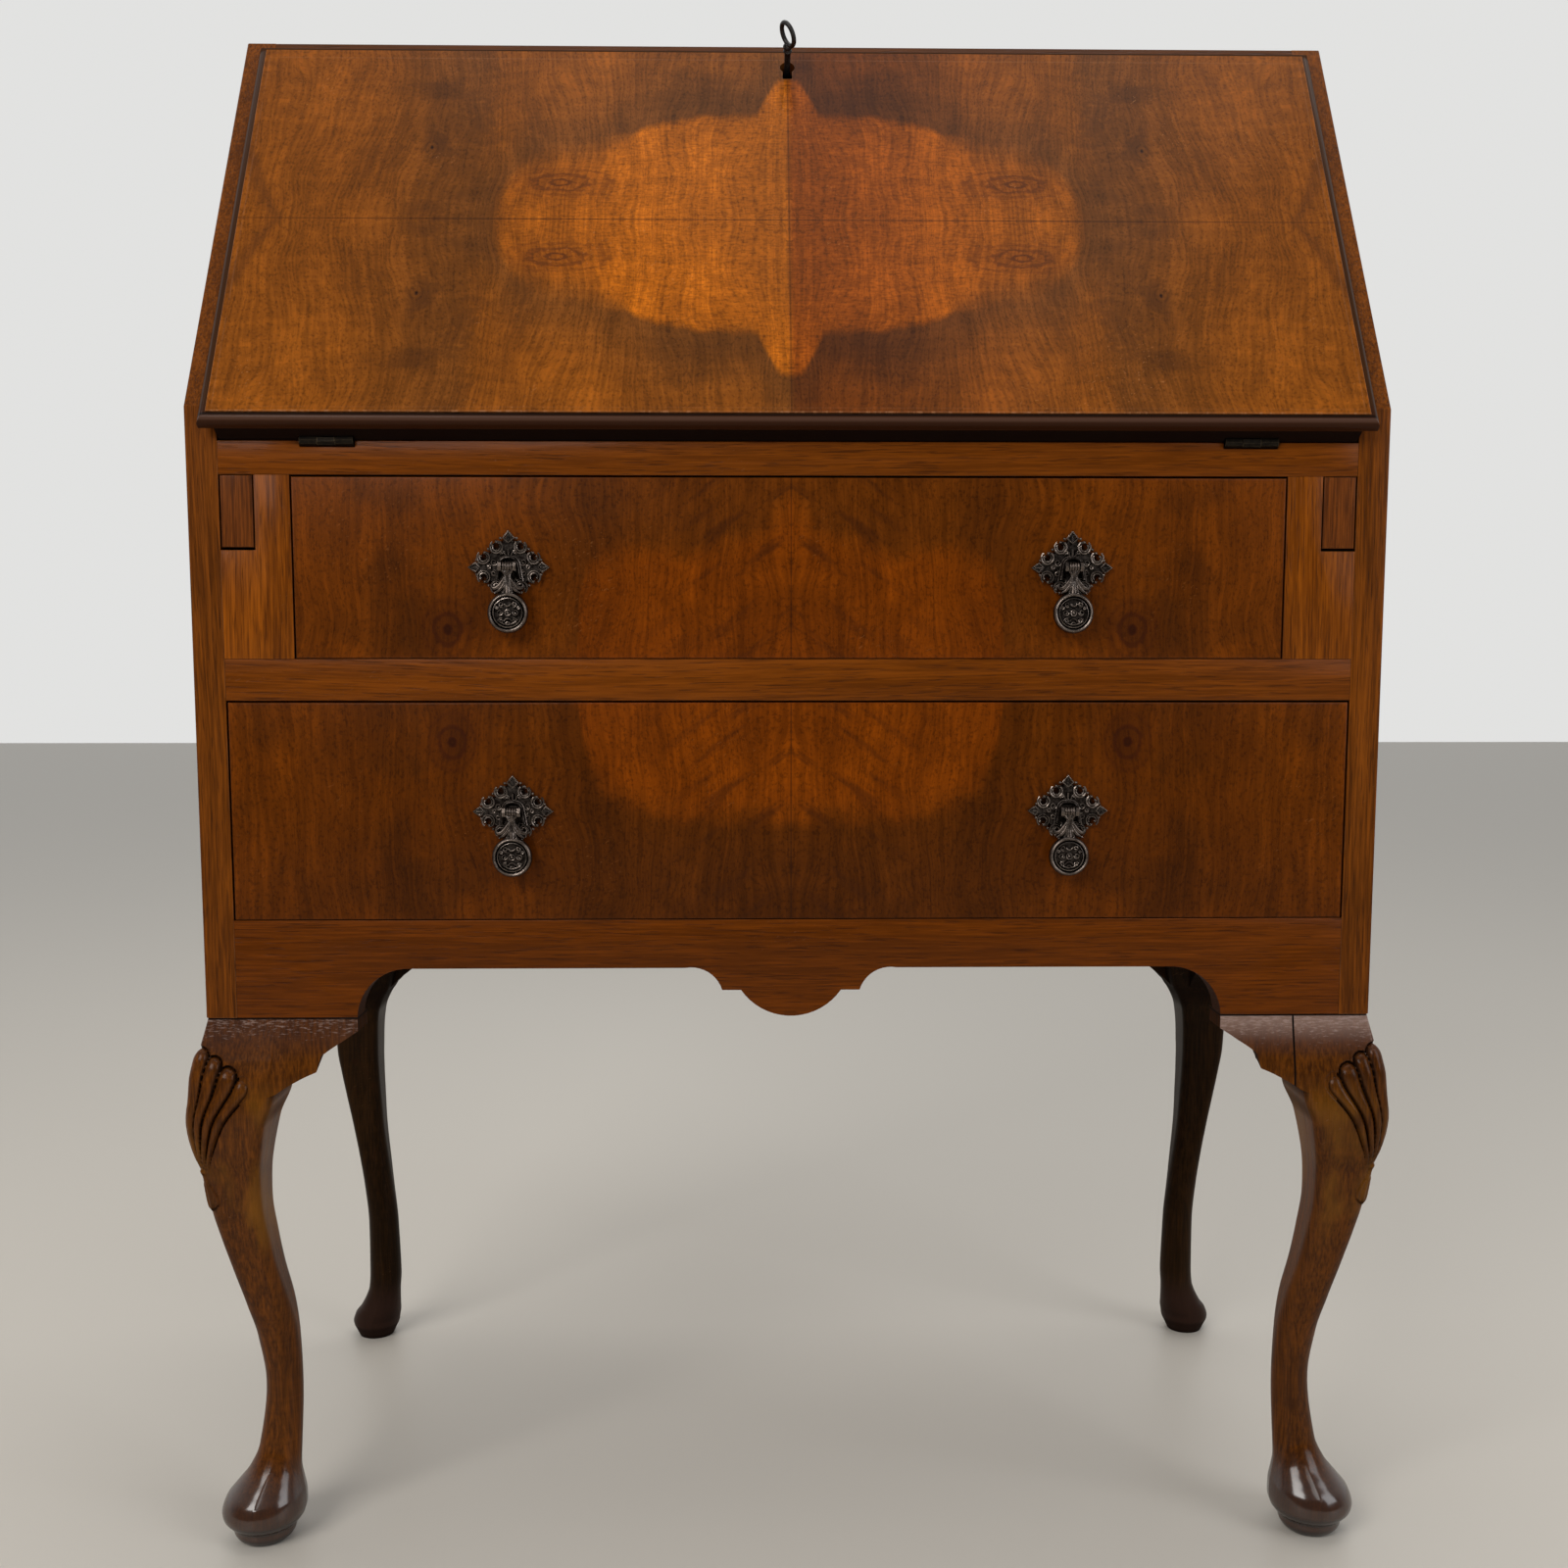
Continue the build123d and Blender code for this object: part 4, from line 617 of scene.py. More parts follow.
def fall_figure(w, leaf, from_joint, from_level, lobes):
    """Veneer with the bright heart and the smoky band, as seen in one of the four leaves."""
    fringe = w.minus(w.noise(leaf, (260, 260, 60), 2, 0.6), 0.5)
    wander = w.plus(w.times(lobes, 0.015), w.times(fringe, 0.005))
    outline = w.curve(w.math("DIVIDE", from_joint, fall_half), HEART_SHARES)
    half_height = (fall_head - fall_foot) / 2
    edge = w.minus(w.times(outline, half_height), w.plus(from_level, wander))
    softness = w.step(w.noise(leaf, (15, 15, 15), 1), 0.38, 0.66, 0.004, 0.018)
    heart = w.step(w.math("DIVIDE", edge, softness), -1.0, 1.0)
    tip = w.times_plus(wander, 0.5, from_joint)
    heart = w.times(heart, w.step(tip, HEART_TIP + TIP_BLUR, HEART_TIP - TIP_BLUR))
    dimmer = w.step(from_joint, 0.20, 0.11, 0.72, 1.0)
    round_heart = w.times(w.step(edge, -0.075, -0.004), w.step(from_joint, 0.31, 0.20))
    beyond_tip = w.band(from_joint, HEART_TIP, HEART_TIP + 0.02, 0.22, 0.30)
    smoke = w.times(w.most(round_heart, w.times(beyond_tip, 0.8)), 0.9)
    return w.group(figured_veneer, Leaf=leaf, Heart=w.times(heart, dimmer), Smoke=smoke)


print("heart drawn with", len(HEART_SHARES), "points")

# %% [markdown]
# Each leaf also has an almond eye inside the heart, a small dark knot in a cloud of its own
# further out, and a dark flame that leans inward from the outer edge. Because they are placed in
# the leaf, the mirror repeats them four times.

# %% Eyes, knots and flames of the fall
EYE_PLACE = Vector((0.1515, 0, 0.0325))
EYE_SIZE = Vector((0.0190, 1, 0.0068))
FALL_KNOT = Vector((0.2405, 0, 0.0635))
FALL_KNOT_SIZE = Vector((0.0042, 1, 0.0054))
KNOT_CLOUD = Vector((0.040, 1, 0.055))
# The flame's distance from the upright joint at the level joint, and how much it leans
FLAME_PLACE = 336 * MM
FLAME_LEAN = 0.42


def fall_marks(w, colour, leaf, from_joint, from_level, lobes):
    eye = w.group(knot, Leaf=leaf, Centre=EYE_PLACE, Size=EYE_SIZE, Wobble=1.4)
    colour = w.stain(colour, eye["Rings"], 0.85, tone(80, 38, 12))
    cloud = w.group(knot, Leaf=leaf, Centre=FALL_KNOT, Size=KNOT_CLOUD)["Rings"]
    cloud = w.times(cloud, w.step(w.noise(leaf, (22, 22, 14), 3), 0.40, 0.62))
    colour = w.stain(colour, cloud, 0.6, tone(66, 36, 14))
    dark_knot = w.group(knot, Leaf=leaf, Centre=FALL_KNOT, Size=FALL_KNOT_SIZE)
    colour = w.stain(colour, dark_knot["Rings"], 0.5, tone(60, 32, 13))
    colour = w.stain(colour, dark_knot["Core"], 0.9, tone(26, 14, 8))
    beyond_flame = w.minus(from_joint, FLAME_PLACE)
    beyond_flame = w.times_plus(from_level, -FLAME_LEAN, beyond_flame)
    beyond_flame = w.times_plus(lobes, 0.02, beyond_flame)
    flame = w.band(beyond_flame, -0.004, 0.002, 0.002, 0.016)
    flame = w.times(flame, w.step(from_level, 0.12, 0.06))
    return w.stain(colour, flame, 0.42, tone(64, 34, 14))


print("eye", [round(value * 1000) for value in EYE_PLACE], "mm from the crossing of the joints")

# %% [markdown]
# The leaves meet in fine dark joints, and the pair on the right has aged redder. Round the field
# runs the moulding. Its lower strip shows, from the field down, a line of chips in the polish, a
# quirk with painted shade and a nose with a painted highlight. The inside of the fall was never veneered.

# %% Joints, rim and inside of the fall
RIM = 6 * MM
CHIPS = 1.5 * MM
# Heights above the foot of the fall between which the nose gets a painted highlight and the quirk gets
# painted shade
NOSE_HIGHLIGHT = (0.8 * MM, 2.2 * MM, 3.0 * MM, 4.2 * MM)
QUIRK_SHADE_BAND = (4.0 * MM, 4.8 * MM, 5.7 * MM, 6.1 * MM)


def fall_joints(w, colour, across, up, from_joint, from_level):
    """The redder right half, and the fine dark lines where the leaves meet."""
    redder = w.times(w.step(across, -0.002, 0.003), w.step(from_joint, 0.22, 0.03))
    colour = w.stain(colour, redder, 0.9, w.dim(colour, (0.62, 0.50, 0.55, 1)))
    colour = w.dim(colour, w.step(up, fall_foot, fall_head, 1.0, 0.90))
    upright = w.times(w.step(from_joint, 0.0008, 0.0003), 0.8)
    level = w.times(w.step(from_level, 0.0008, 0.0003), w.step(from_joint, 0.33, 0.22, 0.65, 1.0))
    return w.stain(colour, w.most(upright, level), 0.6, tone(48, 24, 10))


def moulding_zone(w, across, up):
    """One on the moulded rim of the fall, zero on its veneered field."""
    side = w.math("GREATER_THAN", w.math("ABSOLUTE", across), fall_half - RIM)
    foot = w.math("LESS_THAN", up, fall_foot + RIM)
    head = w.math("GREATER_THAN", up, fall_head - RIM)
    return w.most(side, w.most(foot, head))


def fall_rim(w, colour, place, across, up):
    field_edge = fall_foot + RIM
    chips = w.step(w.noise(place, (210, 60, 60), 3, 0.7), 0.50, 0.62, 0.25, 1.0)
    along_foot = w.band(up, field_edge - CHIPS, field_edge, field_edge, field_edge + 1.6 * MM)
    colour = w.stain(colour, w.times(along_foot, chips), 0.75, tone(168, 116, 78))
    foot_dark = w.step(up, 0.016, 0.010)
    rim_tone = w.blend(foot_dark, tone(58, 33, 14), tone(54, 28, 13))
    colour = w.blend(moulding_zone(w, across, up), colour, rim_tone)
    # A painted highlight along the nose of the moulding
    nose_highlight = w.band(up, *[fall_foot + height for height in NOSE_HIGHLIGHT])
    colour = w.stain(colour, nose_highlight, 0.55, tone(96, 70, 58))
    # Painted shade in the quirk
    quirk_shade = w.band(up, *[fall_foot + height for height in QUIRK_SHADE_BAND])
    colour = w.stain(colour, quirk_shade, 0.85, tone(14, 9, 7))
    edge_light = w.group(edge_wear, Place=place, Breadth=0.0014, Evenness=0.62)["Mask"]
    rubbed = w.times(edge_light, w.times_plus(foot_dark, -0.15, 0.3))
    return w.blend(rubbed, colour, tone(150, 104, 70))


def fall_inside(w, colour, across, out, up):
    """Plain walnut behind the lip, with painted shade that makes the edge below the hinges nearly black."""
    inside = w.math("LESS_THAN", out, lip_back)
    grained = w.join(up, out, across)
    bare = w.group(walnut_grain, Place=grained, Light=tone(124, 66, 15), Dark=tone(78, 40, 8))
    colour = w.blend(inside, colour, bare["Color"])
    # Inside faces that look down the slope, under the lip, get painted shade
    facing = w.add("ShaderNodeTexCoord").outputs["Normal"]
    uphill = w.vector("DOT_PRODUCT", facing, tuple(up_slope))
    return w.blend(w.times(inside, w.step(uphill, -0.4, -0.7)), colour, tone(20, 12, 9))


print("rim of the fall", round(RIM * 1000, 1), "mm")

# %% [markdown]
# The finish puts these layers over each other in the order in which they came to be: wood,
# figure, age, joints, scratches, the rim and last the plain inside.

# %% Veneer of the fall
HEAD_RIM_STARTS = 7 * MM
HEAD_RIM_FULL = 5 * MM


def fall_finish():
    material, w = new_material("fall_veneer")
    across, out, up, place = fall_place(w)
    from_joint = w.math("ABSOLUTE", across)
    from_level = w.apart(up, (fall_foot + fall_head) / 2 + JOINT_RISE)
    leaf = w.join(from_joint, out, from_level)
    lobes = w.minus(w.noise(leaf, (24, 24, 24), 3, 0.6), 0.5)
    wood = fall_figure(w, leaf, from_joint, from_level, lobes)
    colour = fall_marks(w, wood["Color"], leaf, from_joint, from_level, lobes)
    colour = fall_joints(w, colour, across, up, from_joint, from_level)
    marks = w.group(scratches, Place=place, Amount=0.8)["Mask"]
    colour = w.stain(colour, marks, 0.5, tone(176, 118, 66))
    colour = fall_rim(w, colour, place, across, up)
    colour = fall_inside(w, colour, across, out, up)
    head_rim = w.step(up, fall_head - HEAD_RIM_STARTS, fall_head - HEAD_RIM_FULL)
    roughness = w.plus(wood["Sheen"], w.times_plus(head_rim, 0.5, 0.34))
    coat = w.times_plus(head_rim, -POLISH, POLISH)
    shade(w, colour, roughness, wood["Height"], 0.00012, coat=coat, coat_roughness=0.14)
    return material


fall_veneer = fall_finish()
print("fall veneer", len(fall_veneer.node_tree.nodes), "nodes")

# %% [markdown]
# ## Drawer fronts
# Each drawer front is veneered with two mirrored leaves. The heart lies low on the upper drawer
# and high on the lower one. Its edge is again a drawn curve, now of height against distance. A
# round knot lies beyond each pull, and the growth rings arch widely round it.

# %% Figure of the drawer fronts
# Edge of the heart: distance from the joint as a share of HEART_REACH, height as a share of
# the front's height
HEART_REACH = 200 * MM
UPPER_HEART_SHARES = (
    (0.0, 0.84), (0.06, 0.78), (0.10, 0.70), (0.30, 0.62), (0.55, 0.60), (0.63, 0.50),
    (0.675, 0.30), (0.69, 0.0), (1.0, 0.0),
)
LOWER_HEART_SHARES = (
    (0.0, 0.49), (0.35, 0.50), (0.55, 0.56), (0.64, 0.68), (0.675, 0.82), (0.69, 1.0), (1.0, 1.0),
)
HEART_LEVEL = 0.90
KNOT_SIZE = Vector((0.0085, 1, 0.0105))
ARCH_SIZE = Vector((0.026, 1, 0.040))


def drawer_figure(w, leaf, from_joint, up, height, shares, above, field_level):
    """Veneer of a front: its heart above or below the drawn edge, and smoke beside the heart."""
    wander = w.times(w.minus(w.noise(leaf, (26, 26, 26), 4, 0.6), 0.5), 0.045)
    edge = w.curve(w.math("DIVIDE", from_joint, HEART_REACH), shares)
    rise = w.minus(w.times(edge, height), w.plus(up, wander))
    if above:
        rise = w.times(rise, -1.0)
    heart = w.times(w.step(rise, -0.010, 0.014), w.step(from_joint, 0.152, 0.134))
    beside_heart = w.times(w.step(from_joint, 0.20, 0.12), w.minus(1.0, heart))
    patches = w.step(w.noise(leaf, (11, 11, 14), 2), 0.48, 0.62)
    smoke = w.most(beside_heart, w.times(patches, 0.8))
    wood = w.group(
        figured_veneer,
        Leaf=w.vector("ADD", leaf, (0.5, 0, height)),
        Heart=w.times(heart, 0.9),
        Smoke=w.times(smoke, 0.68),
        Ripple=0.2,
        Heart_tone=tone(126, 58, 3),
        Field_tone=tone(116, 56, 4),
        Smoke_tone=tone(84, 41, 6),
    )
    level = w.times_plus(heart, HEART_LEVEL - field_level, field_level)
    return w.dim(wood["Color"], level), wood


def drawer_marks(w, colour, leaf, from_joint, knot_place):
    """Arches and rings round the knot, dark flames near the joint, and the joint itself."""
    arches = w.group(knot, Leaf=leaf, Centre=knot_place, Size=ARCH_SIZE, Wobble=0.7)["Rings"]
    colour = w.stain(colour, arches, 0.32, tone(56, 28, 8))
    round_knot = w.group(knot, Leaf=leaf, Centre=knot_place, Size=KNOT_SIZE, Wobble=0.45)
    colour = w.stain(colour, round_knot["Rings"], 0.8, tone(54, 21, 7))
    colour = w.stain(colour, round_knot["Core"], 0.7, tone(44, 17, 6))
    leaning = w.vector("ADD", leaf, w.join(0, 0, w.times(from_joint, 0.7)))
    flames = w.noise(leaning, (30, 1, 110), 3)
    flame = w.times(w.step(flames, 0.50, 0.72), w.step(from_joint, 0.12, 0.03))
    colour = w.stain(colour, flame, 0.55, tone(58, 27, 8))
    joint = w.step(from_joint, 0.0007, 0.0003)
    return w.stain(colour, joint, 0.5, tone(40, 20, 9))


print("round knots", [round(value * 2000) for value in (KNOT_SIZE.x, KNOT_SIZE.z)], "mm across")

# %% [markdown]
# The wood under a pierced backplate is painted nearly black, as the shade under the plate. The
# edges have lost their polish, and behind the face the board is plain, which shows when the drawer stands
# open.

# %% Veneer of the drawer fronts
# Half the breadth of a pull's backplate
PLATE_HALF = 25.8 * MM
VENEER_THICK = 1.5 * MM


def shade_under_plate(w, from_joint, z, front_node):
    """Painted shade under a backplate: one under its lozenge, zero beyond its edges."""
    low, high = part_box(front_node.replace("drawer_front", "pull_plates"))
    half_height = (high.z - low.z) / 2
    beside = w.math("DIVIDE", w.apart(from_joint, high.x - PLATE_HALF), PLATE_HALF)
    above = w.math("DIVIDE", w.apart(z, low.z + half_height), half_height)
    return w.step(w.plus(beside, above), 1.0, 0.82)


def drawer_finish(name, front_node, heart_shares, heart_above, knot_place, field_level):
    material, w = new_material(name)
    place = w.add("ShaderNodeTexCoord").outputs["Object"]
    low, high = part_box(front_node)
    height = high.z - low.z
    x, y, z = w.split(place)
    from_joint = w.math("ABSOLUTE", x)
    up = w.minus(z, low.z)
    leaf = w.join(from_joint, y, up)
    colour, wood = drawer_figure(w, leaf, from_joint, up, height, heart_shares, heart_above, field_level)
    colour = drawer_marks(w, colour, leaf, from_joint, knot_place)
    marks = w.group(scratches, Place=place, Amount=0.7)["Mask"]
    colour = w.stain(colour, marks, 0.45, tone(150, 92, 44))
    edge_light = w.group(edge_wear, Place=place, Breadth=0.0012, Evenness=0.72)["Mask"]
    colour = w.stain(colour, edge_light, 0.7, tone(150, 116, 92))
    # Painted shade under the backplate
    colour = w.stain(colour, shade_under_plate(w, from_joint, z, front_node), 0.9, tone(20, 12, 8))
    core = w.group(walnut_grain, Place=w.join(z, y, x), Light=tone(150, 104, 62), Dark=tone(96, 60, 34))
    colour = w.blend(w.math("GREATER_THAN", y, front + VENEER_THICK), colour, core["Color"])
    roughness = w.plus(wood["Sheen"], 0.36)
    shade(w, colour, roughness, wood["Height"], 0.00012, coat=POLISH, coat_roughness=0.15)
    print(name, len(material.node_tree.nodes), "nodes")
    return material


UPPER_KNOT = Vector((0.219, front, 0.0185))
LOWER_KNOT = Vector((0.2175, front, 0.115))
upper_veneer = drawer_finish(
    "upper_drawer_veneer", "upper_drawer_front", UPPER_HEART_SHARES, False, UPPER_KNOT, 0.98
)
lower_veneer = drawer_finish(
    "lower_drawer_veneer", "lower_drawer_front", LOWER_HEART_SHARES, True, LOWER_KNOT, 0.75
)

# %% [markdown]
# ## Woods inside and out of sight
# Drawer linings and the fitted inside are pale oak, the dust board, runners and blocks are pine,
# the thin back and the drawer bottoms are plywood. They get the same grain group with paler tones.

# %% Plain woods
def plain_wood(name, light, dark, grain, roughness=0.62):
    """Unpolished wood with its grain along one axis."""
    material, w = new_material(name)
    place = w.add("ShaderNodeTexCoord").outputs["Object"]
    grained = w.add("ShaderNodeMapping", {"Vector": place, "Rotation": GRAIN_TURNS[grain]}).outputs[0]
    wood = w.group(walnut_grain, Place=grained, Light=tone(*light), Dark=tone(*dark), Streaks=0.8)
    dirt_and_shade = w.group(hollow_dirt_and_shade, Reach=0.012, Amount=0.6)["Mask"]
    edge = w.group(edge_wear, Place=place, Breadth=0.001, Evenness=0.5)["Mask"]
    colour = w.stain(wood["Color"], edge, 0.4, tone(*light))
    # Painted shade and dust in the corners of the unpolished wood
    colour = w.blend(dirt_and_shade, colour, tone(48, 34, 22))
    shade(w, colour, w.plus(wood["Sheen"], roughness), wood["Height"], 0.0002)
    print(name, "with its grain along", grain)
    return material


oak_long = plain_wood("lining_oak_deep", (178, 140, 92), (128, 94, 56), "y")
oak_wide = plain_wood("lining_oak_wide", (174, 136, 88), (124, 90, 54), "x")
nest_oak = plain_wood("nest_oak", (150, 104, 60), (104, 66, 34), "z", 0.5)
pine = plain_wood("frame_pine", (196, 158, 104), (150, 110, 64), "y")
ply = plain_wood("back_ply", (150, 112, 70), (104, 72, 42), "z")

# %% [markdown]
# ## Metals
# The pulls are cast brass, blackened long ago and rubbed bright where the relief stands proud,
# and that bright relief is also a painted highlight. The hinges and the lock are plainer. All
# share one finish: dark in the hollows with patina and painted shade, worn where hands reach.
# The bright relief goes by the distance out from the drawer's face.

# %% Old metal
# Where cast relief starts to be rubbed bright and painted as highlight, where it is fully so, and where that
# stops
PLATE_RELIEF = (2.5 * MM, 3.2 * MM, 4.6 * MM)
DROP_RELIEF = (10.3 * MM, 11.0 * MM, 13.0 * MM)


def old_metal(name, base, worn, hollow, roughness=0.42, wear=0.6, breadth=0.0006, metal=0.9, relief=()):
    material, w = new_material(name)
    place = w.add("ShaderNodeTexCoord").outputs["Object"]
    mottled = w.noise(place, (420, 420, 420), 3, 0.6)
    finer = w.vector("MULTIPLY", place, (6, 6, 6))
    edge = w.group(edge_wear, Place=finer, Breadth=breadth, Evenness=wear)["Mask"]
    dirt_and_shade = w.group(hollow_dirt_and_shade, Reach=0.0035, Amount=0.98)["Mask"]
    paler = w.blend(0.12, tone(*base), tone(*worn))
    colour = w.blend(w.step(mottled, 0.35, 0.7), tone(*base), paler)
    out = w.minus(front, w.split(place)[1])
    for begins, full, stops in relief:
        raised_rub_and_highlight = w.times(w.step(out, begins, full), w.math("LESS_THAN", out, stops))
        raised_rub_and_highlight = w.times(raised_rub_and_highlight, w.step(mottled, 0.3, 0.6, 0.5, 1.0))
        # Rubbed brass, with a painted highlight, on the raised relief
        colour = w.blend(raised_rub_and_highlight, colour, tone(102, 91, 84))
    colour = w.blend(edge, colour, tone(*worn))
    # Patina and painted shade in the hollows of the metal
    colour = w.blend(dirt_and_shade, colour, tone(*hollow))
    uneven = w.minus(w.times(mottled, 0.3), w.times(edge, 0.15))
    shade(w, colour, w.plus(roughness, uneven), mottled, 0.00002, metal=metal)
    print(name, "with a base of", base)
    return material


bronze = old_metal(
    "antique_bronze", (40, 34, 31), (200, 186, 176), (4, 3, 3), roughness=0.22, wear=0.55,
    breadth=0.0005, metal=1.0, relief=(PLATE_RELIEF, DROP_RELIEF),
)
steel = old_metal("lock_steel", (70, 68, 66), (150, 150, 150), (24, 20, 18))
brass = old_metal("hinge_brass", (25, 21, 17), (96, 82, 62), (10, 8, 6))
dark_steel = old_metal("key_steel", (44, 42, 42), (140, 138, 136), (14, 12, 12), roughness=0.34)

# %% [markdown]
# ## Dress the boards that keep their CAD shape
# Flat boards are right as they are. Each gets the finish whose grain runs along its length.

# %% Finishes for the CAD nodes
def dress(material, *names):
    for name in names:
        mesh = nodes[name].data
        mesh.materials.clear()
        mesh.materials.append(material)


dress(carcass_upright, "side_left", "side_right")
dress(stile_wood, "loper_stile_left", "loper_stile_right")
dress(carcass_level, "top_board", "writing_board", "divider_rail")
dress(apron_wood_shaded, "apron_rail")
dress(loper_wood, "loper_left", "loper_right")
dress(fall_veneer, "fall_panel", "fall_edging")
dress(upper_veneer, "upper_drawer_front")
dress(lower_veneer, "lower_drawer_front")
dress(pine, "drawer_runners", "drawer_stops", "corner_blocks", "back_rail", "dust_board")
dress(pine, "loper_bearers", "loper_partition_left", "loper_partition_right")
dress(ply, "back_panel", "upper_drawer_bottom", "lower_drawer_bottom")
for level in ("upper", "lower"):
    dress(oak_long, f"{level}_drawer_side_left", f"{level}_drawer_side_right")
    dress(oak_wide, f"{level}_drawer_back")
    dress(bronze, f"{level}_pull_plates", f"{level}_pull_posts")
    dress(bronze, f"{level}_pull_drop_left", f"{level}_pull_drop_right")
dress(nest_oak, "nest_uprights", "nest_shelf", "nest_valances")
for side in ("left", "right"):
    dress(nest_oak, f"nest_drawer_{side}_front", f"nest_drawer_{side}_tray")
dress(steel, "lock_case", "lock_bolt")
dress(brass, "hinge_leaves_board", "hinge_leaves_fall", "hinge_screws_board", "hinge_screws_fall")
dress(dark_steel, "key")
print("dressed", len(nodes), "nodes")

# %% [markdown]
# ## Making a piece
# A new piece is a mesh, an object that carries it, the body that it moves with, the finish it
# wears, and the CAD nodes that it stands for.

# %% Helpers for new pieces
def add_piece(name, mesh, body, material, stands_for, smooth):
    """Turns a bmesh into an object that rides on a body and stands for CAD nodes."""
    bmesh.ops.recalc_face_normals(mesh, faces=mesh.faces)
    data = bpy.data.meshes.new(name)
    mesh.to_mesh(data)
    mesh.free()
    data.polygons.foreach_set("use_smooth", [True] * len(data.polygons))
    data.set_sharp_from_angle(angle=math.radians(smooth))
    data.materials.append(material)
    piece = bpy.data.objects.new(name, data)
    bpy.context.scene.collection.objects.link(piece)
    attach(piece, body)
    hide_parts(*stands_for)
    print(name, len(data.polygons), "faces on", body)


def skin(mesh, rings, caps=True):
    """Joins rings of points with quads, and closes the ends."""
    rows = [[mesh.verts.new(point) for point in ring] for ring in rings]
    count = len(rows[0])
    for row, after in zip(rows, rows[1:]):
        for index in range(count):
            beside = (index + 1) % count
            mesh.faces.new((row[index], row[beside], after[beside], after[index]))
    if caps:
        mesh.faces.new(rows[0])
        mesh.faces.new(rows[-1])
    return rows


def smooth_row(table, level):
    """The values at a level, read from a table of rows by a smooth curve through them."""
    rows = sorted(table)
    level = min(max(level, rows[0][0]), rows[-1][0])
    index = 0
    while index < len(rows) - 2 and rows[index + 1][0] < level:
        index += 1
    before, start, end = rows[max(index - 1, 0)], rows[index], rows[index + 1]
    after = rows[min(index + 2, len(rows) - 1)]
    span = end[0] - start[0]
    t = (level - start[0]) / span
    values = []
    for column in range(1, len(start)):
        rise = (end[column] - start[column]) / span
        rise_before = (start[column] - before[column]) / (start[0] - before[0]) if index else rise
        rise_after = (after[column] - end[column]) / (after[0] - end[0]) if after is not end else rise
        pull_start = 0.0 if rise * rise_before <= 0 else 2 * rise * rise_before / (rise + rise_before)
        pull_end = 0.0 if rise * rise_after <= 0 else 2 * rise * rise_after / (rise + rise_after)
        values.append(
            start[column] * (2 * t**3 - 3 * t**2 + 1)
            + end[column] * (3 * t**2 - 2 * t**3)
            + span * pull_start * (t**3 - 2 * t**2 + t)
            + span * pull_end * (t**3 - t**2)
        )
    return values


# %% [markdown]
# ## Cabriole legs
# A cabriole leg is sawn from a square post in two views and rounded by hand. The table repeats
# the sections of the CAD leg. Here the sections are read smoothly and far more closely, so that
# the knee, ankle and pad have no flats. The front knees carry a carved shell: seven ribs that
# fan out of one root on the corner, with a leaf hanging below it.

# %% Leg tables
POST = 45 * MM
LEG_HEIGHT = carcass_foot
# Share of the height; distance of the section's centre from the corner and its width, as
# shares of the post; rounding of the outer corner and of the others, as shares of half the width
LEG_SHARES = (
    (1.0, 0.508, 0.984, 0.06, 0.04),
    (0.985, 0.493, 1.014, 0.08, 0.04),
    (0.965, 0.471, 1.058, 0.11, 0.05),
    (0.937, 0.441, 1.122, 0.18, 0.08),
    (0.921, 0.422, 1.160, 0.22, 0.10),
    (0.891, 0.394, 1.212, 0.27, 0.14),
    (0.852, 0.355, 1.208, 0.33, 0.20),
    (0.803, 0.279, 1.084, 0.38, 0.26),
    (0.754, 0.268, 0.964, 0.43, 0.32),
    (0.705, 0.289, 0.827, 0.48, 0.34),
    (0.650, 0.316, 0.764, 0.54, 0.38),
    (0.590, 0.387, 0.720, 0.60, 0.42),
    (0.519, 0.489, 0.676, 0.70, 0.50),
    (0.451, 0.602, 0.662, 0.82, 0.65),
    (0.383, 0.689, 0.609, 0.95, 0.90),
    (0.290, 0.738, 0.542, 1.0, 1.0),
    (0.169, 0.667, 0.631, 1.0, 1.0),
    (0.131, 0.600, 0.767, 1.0, 1.0),
    (0.104, 0.533, 1.000, 1.0, 1.0),
    (0.082, 0.484, 1.189, 1.0, 1.0),
    (0.060, 0.458, 1.249, 1.0, 1.0),
    (0.047, 0.451, 1.205, 1.0, 1.0),
    (0.036, 0.453, 1.080, 1.0, 1.0),
    (0.029, 0.455, 0.960, 1.0, 1.0),
    (0.0255, 0.456, 0.925, 1.0, 1.0),
    (0.020, 0.456, 0.925, 1.0, 1.0),
    (0.010, 0.456, 0.860, 1.0, 1.0),
    (0.003, 0.456, 0.750, 1.0, 1.0),
    (0.0, 0.456, 0.690, 1.0, 1.0),
)
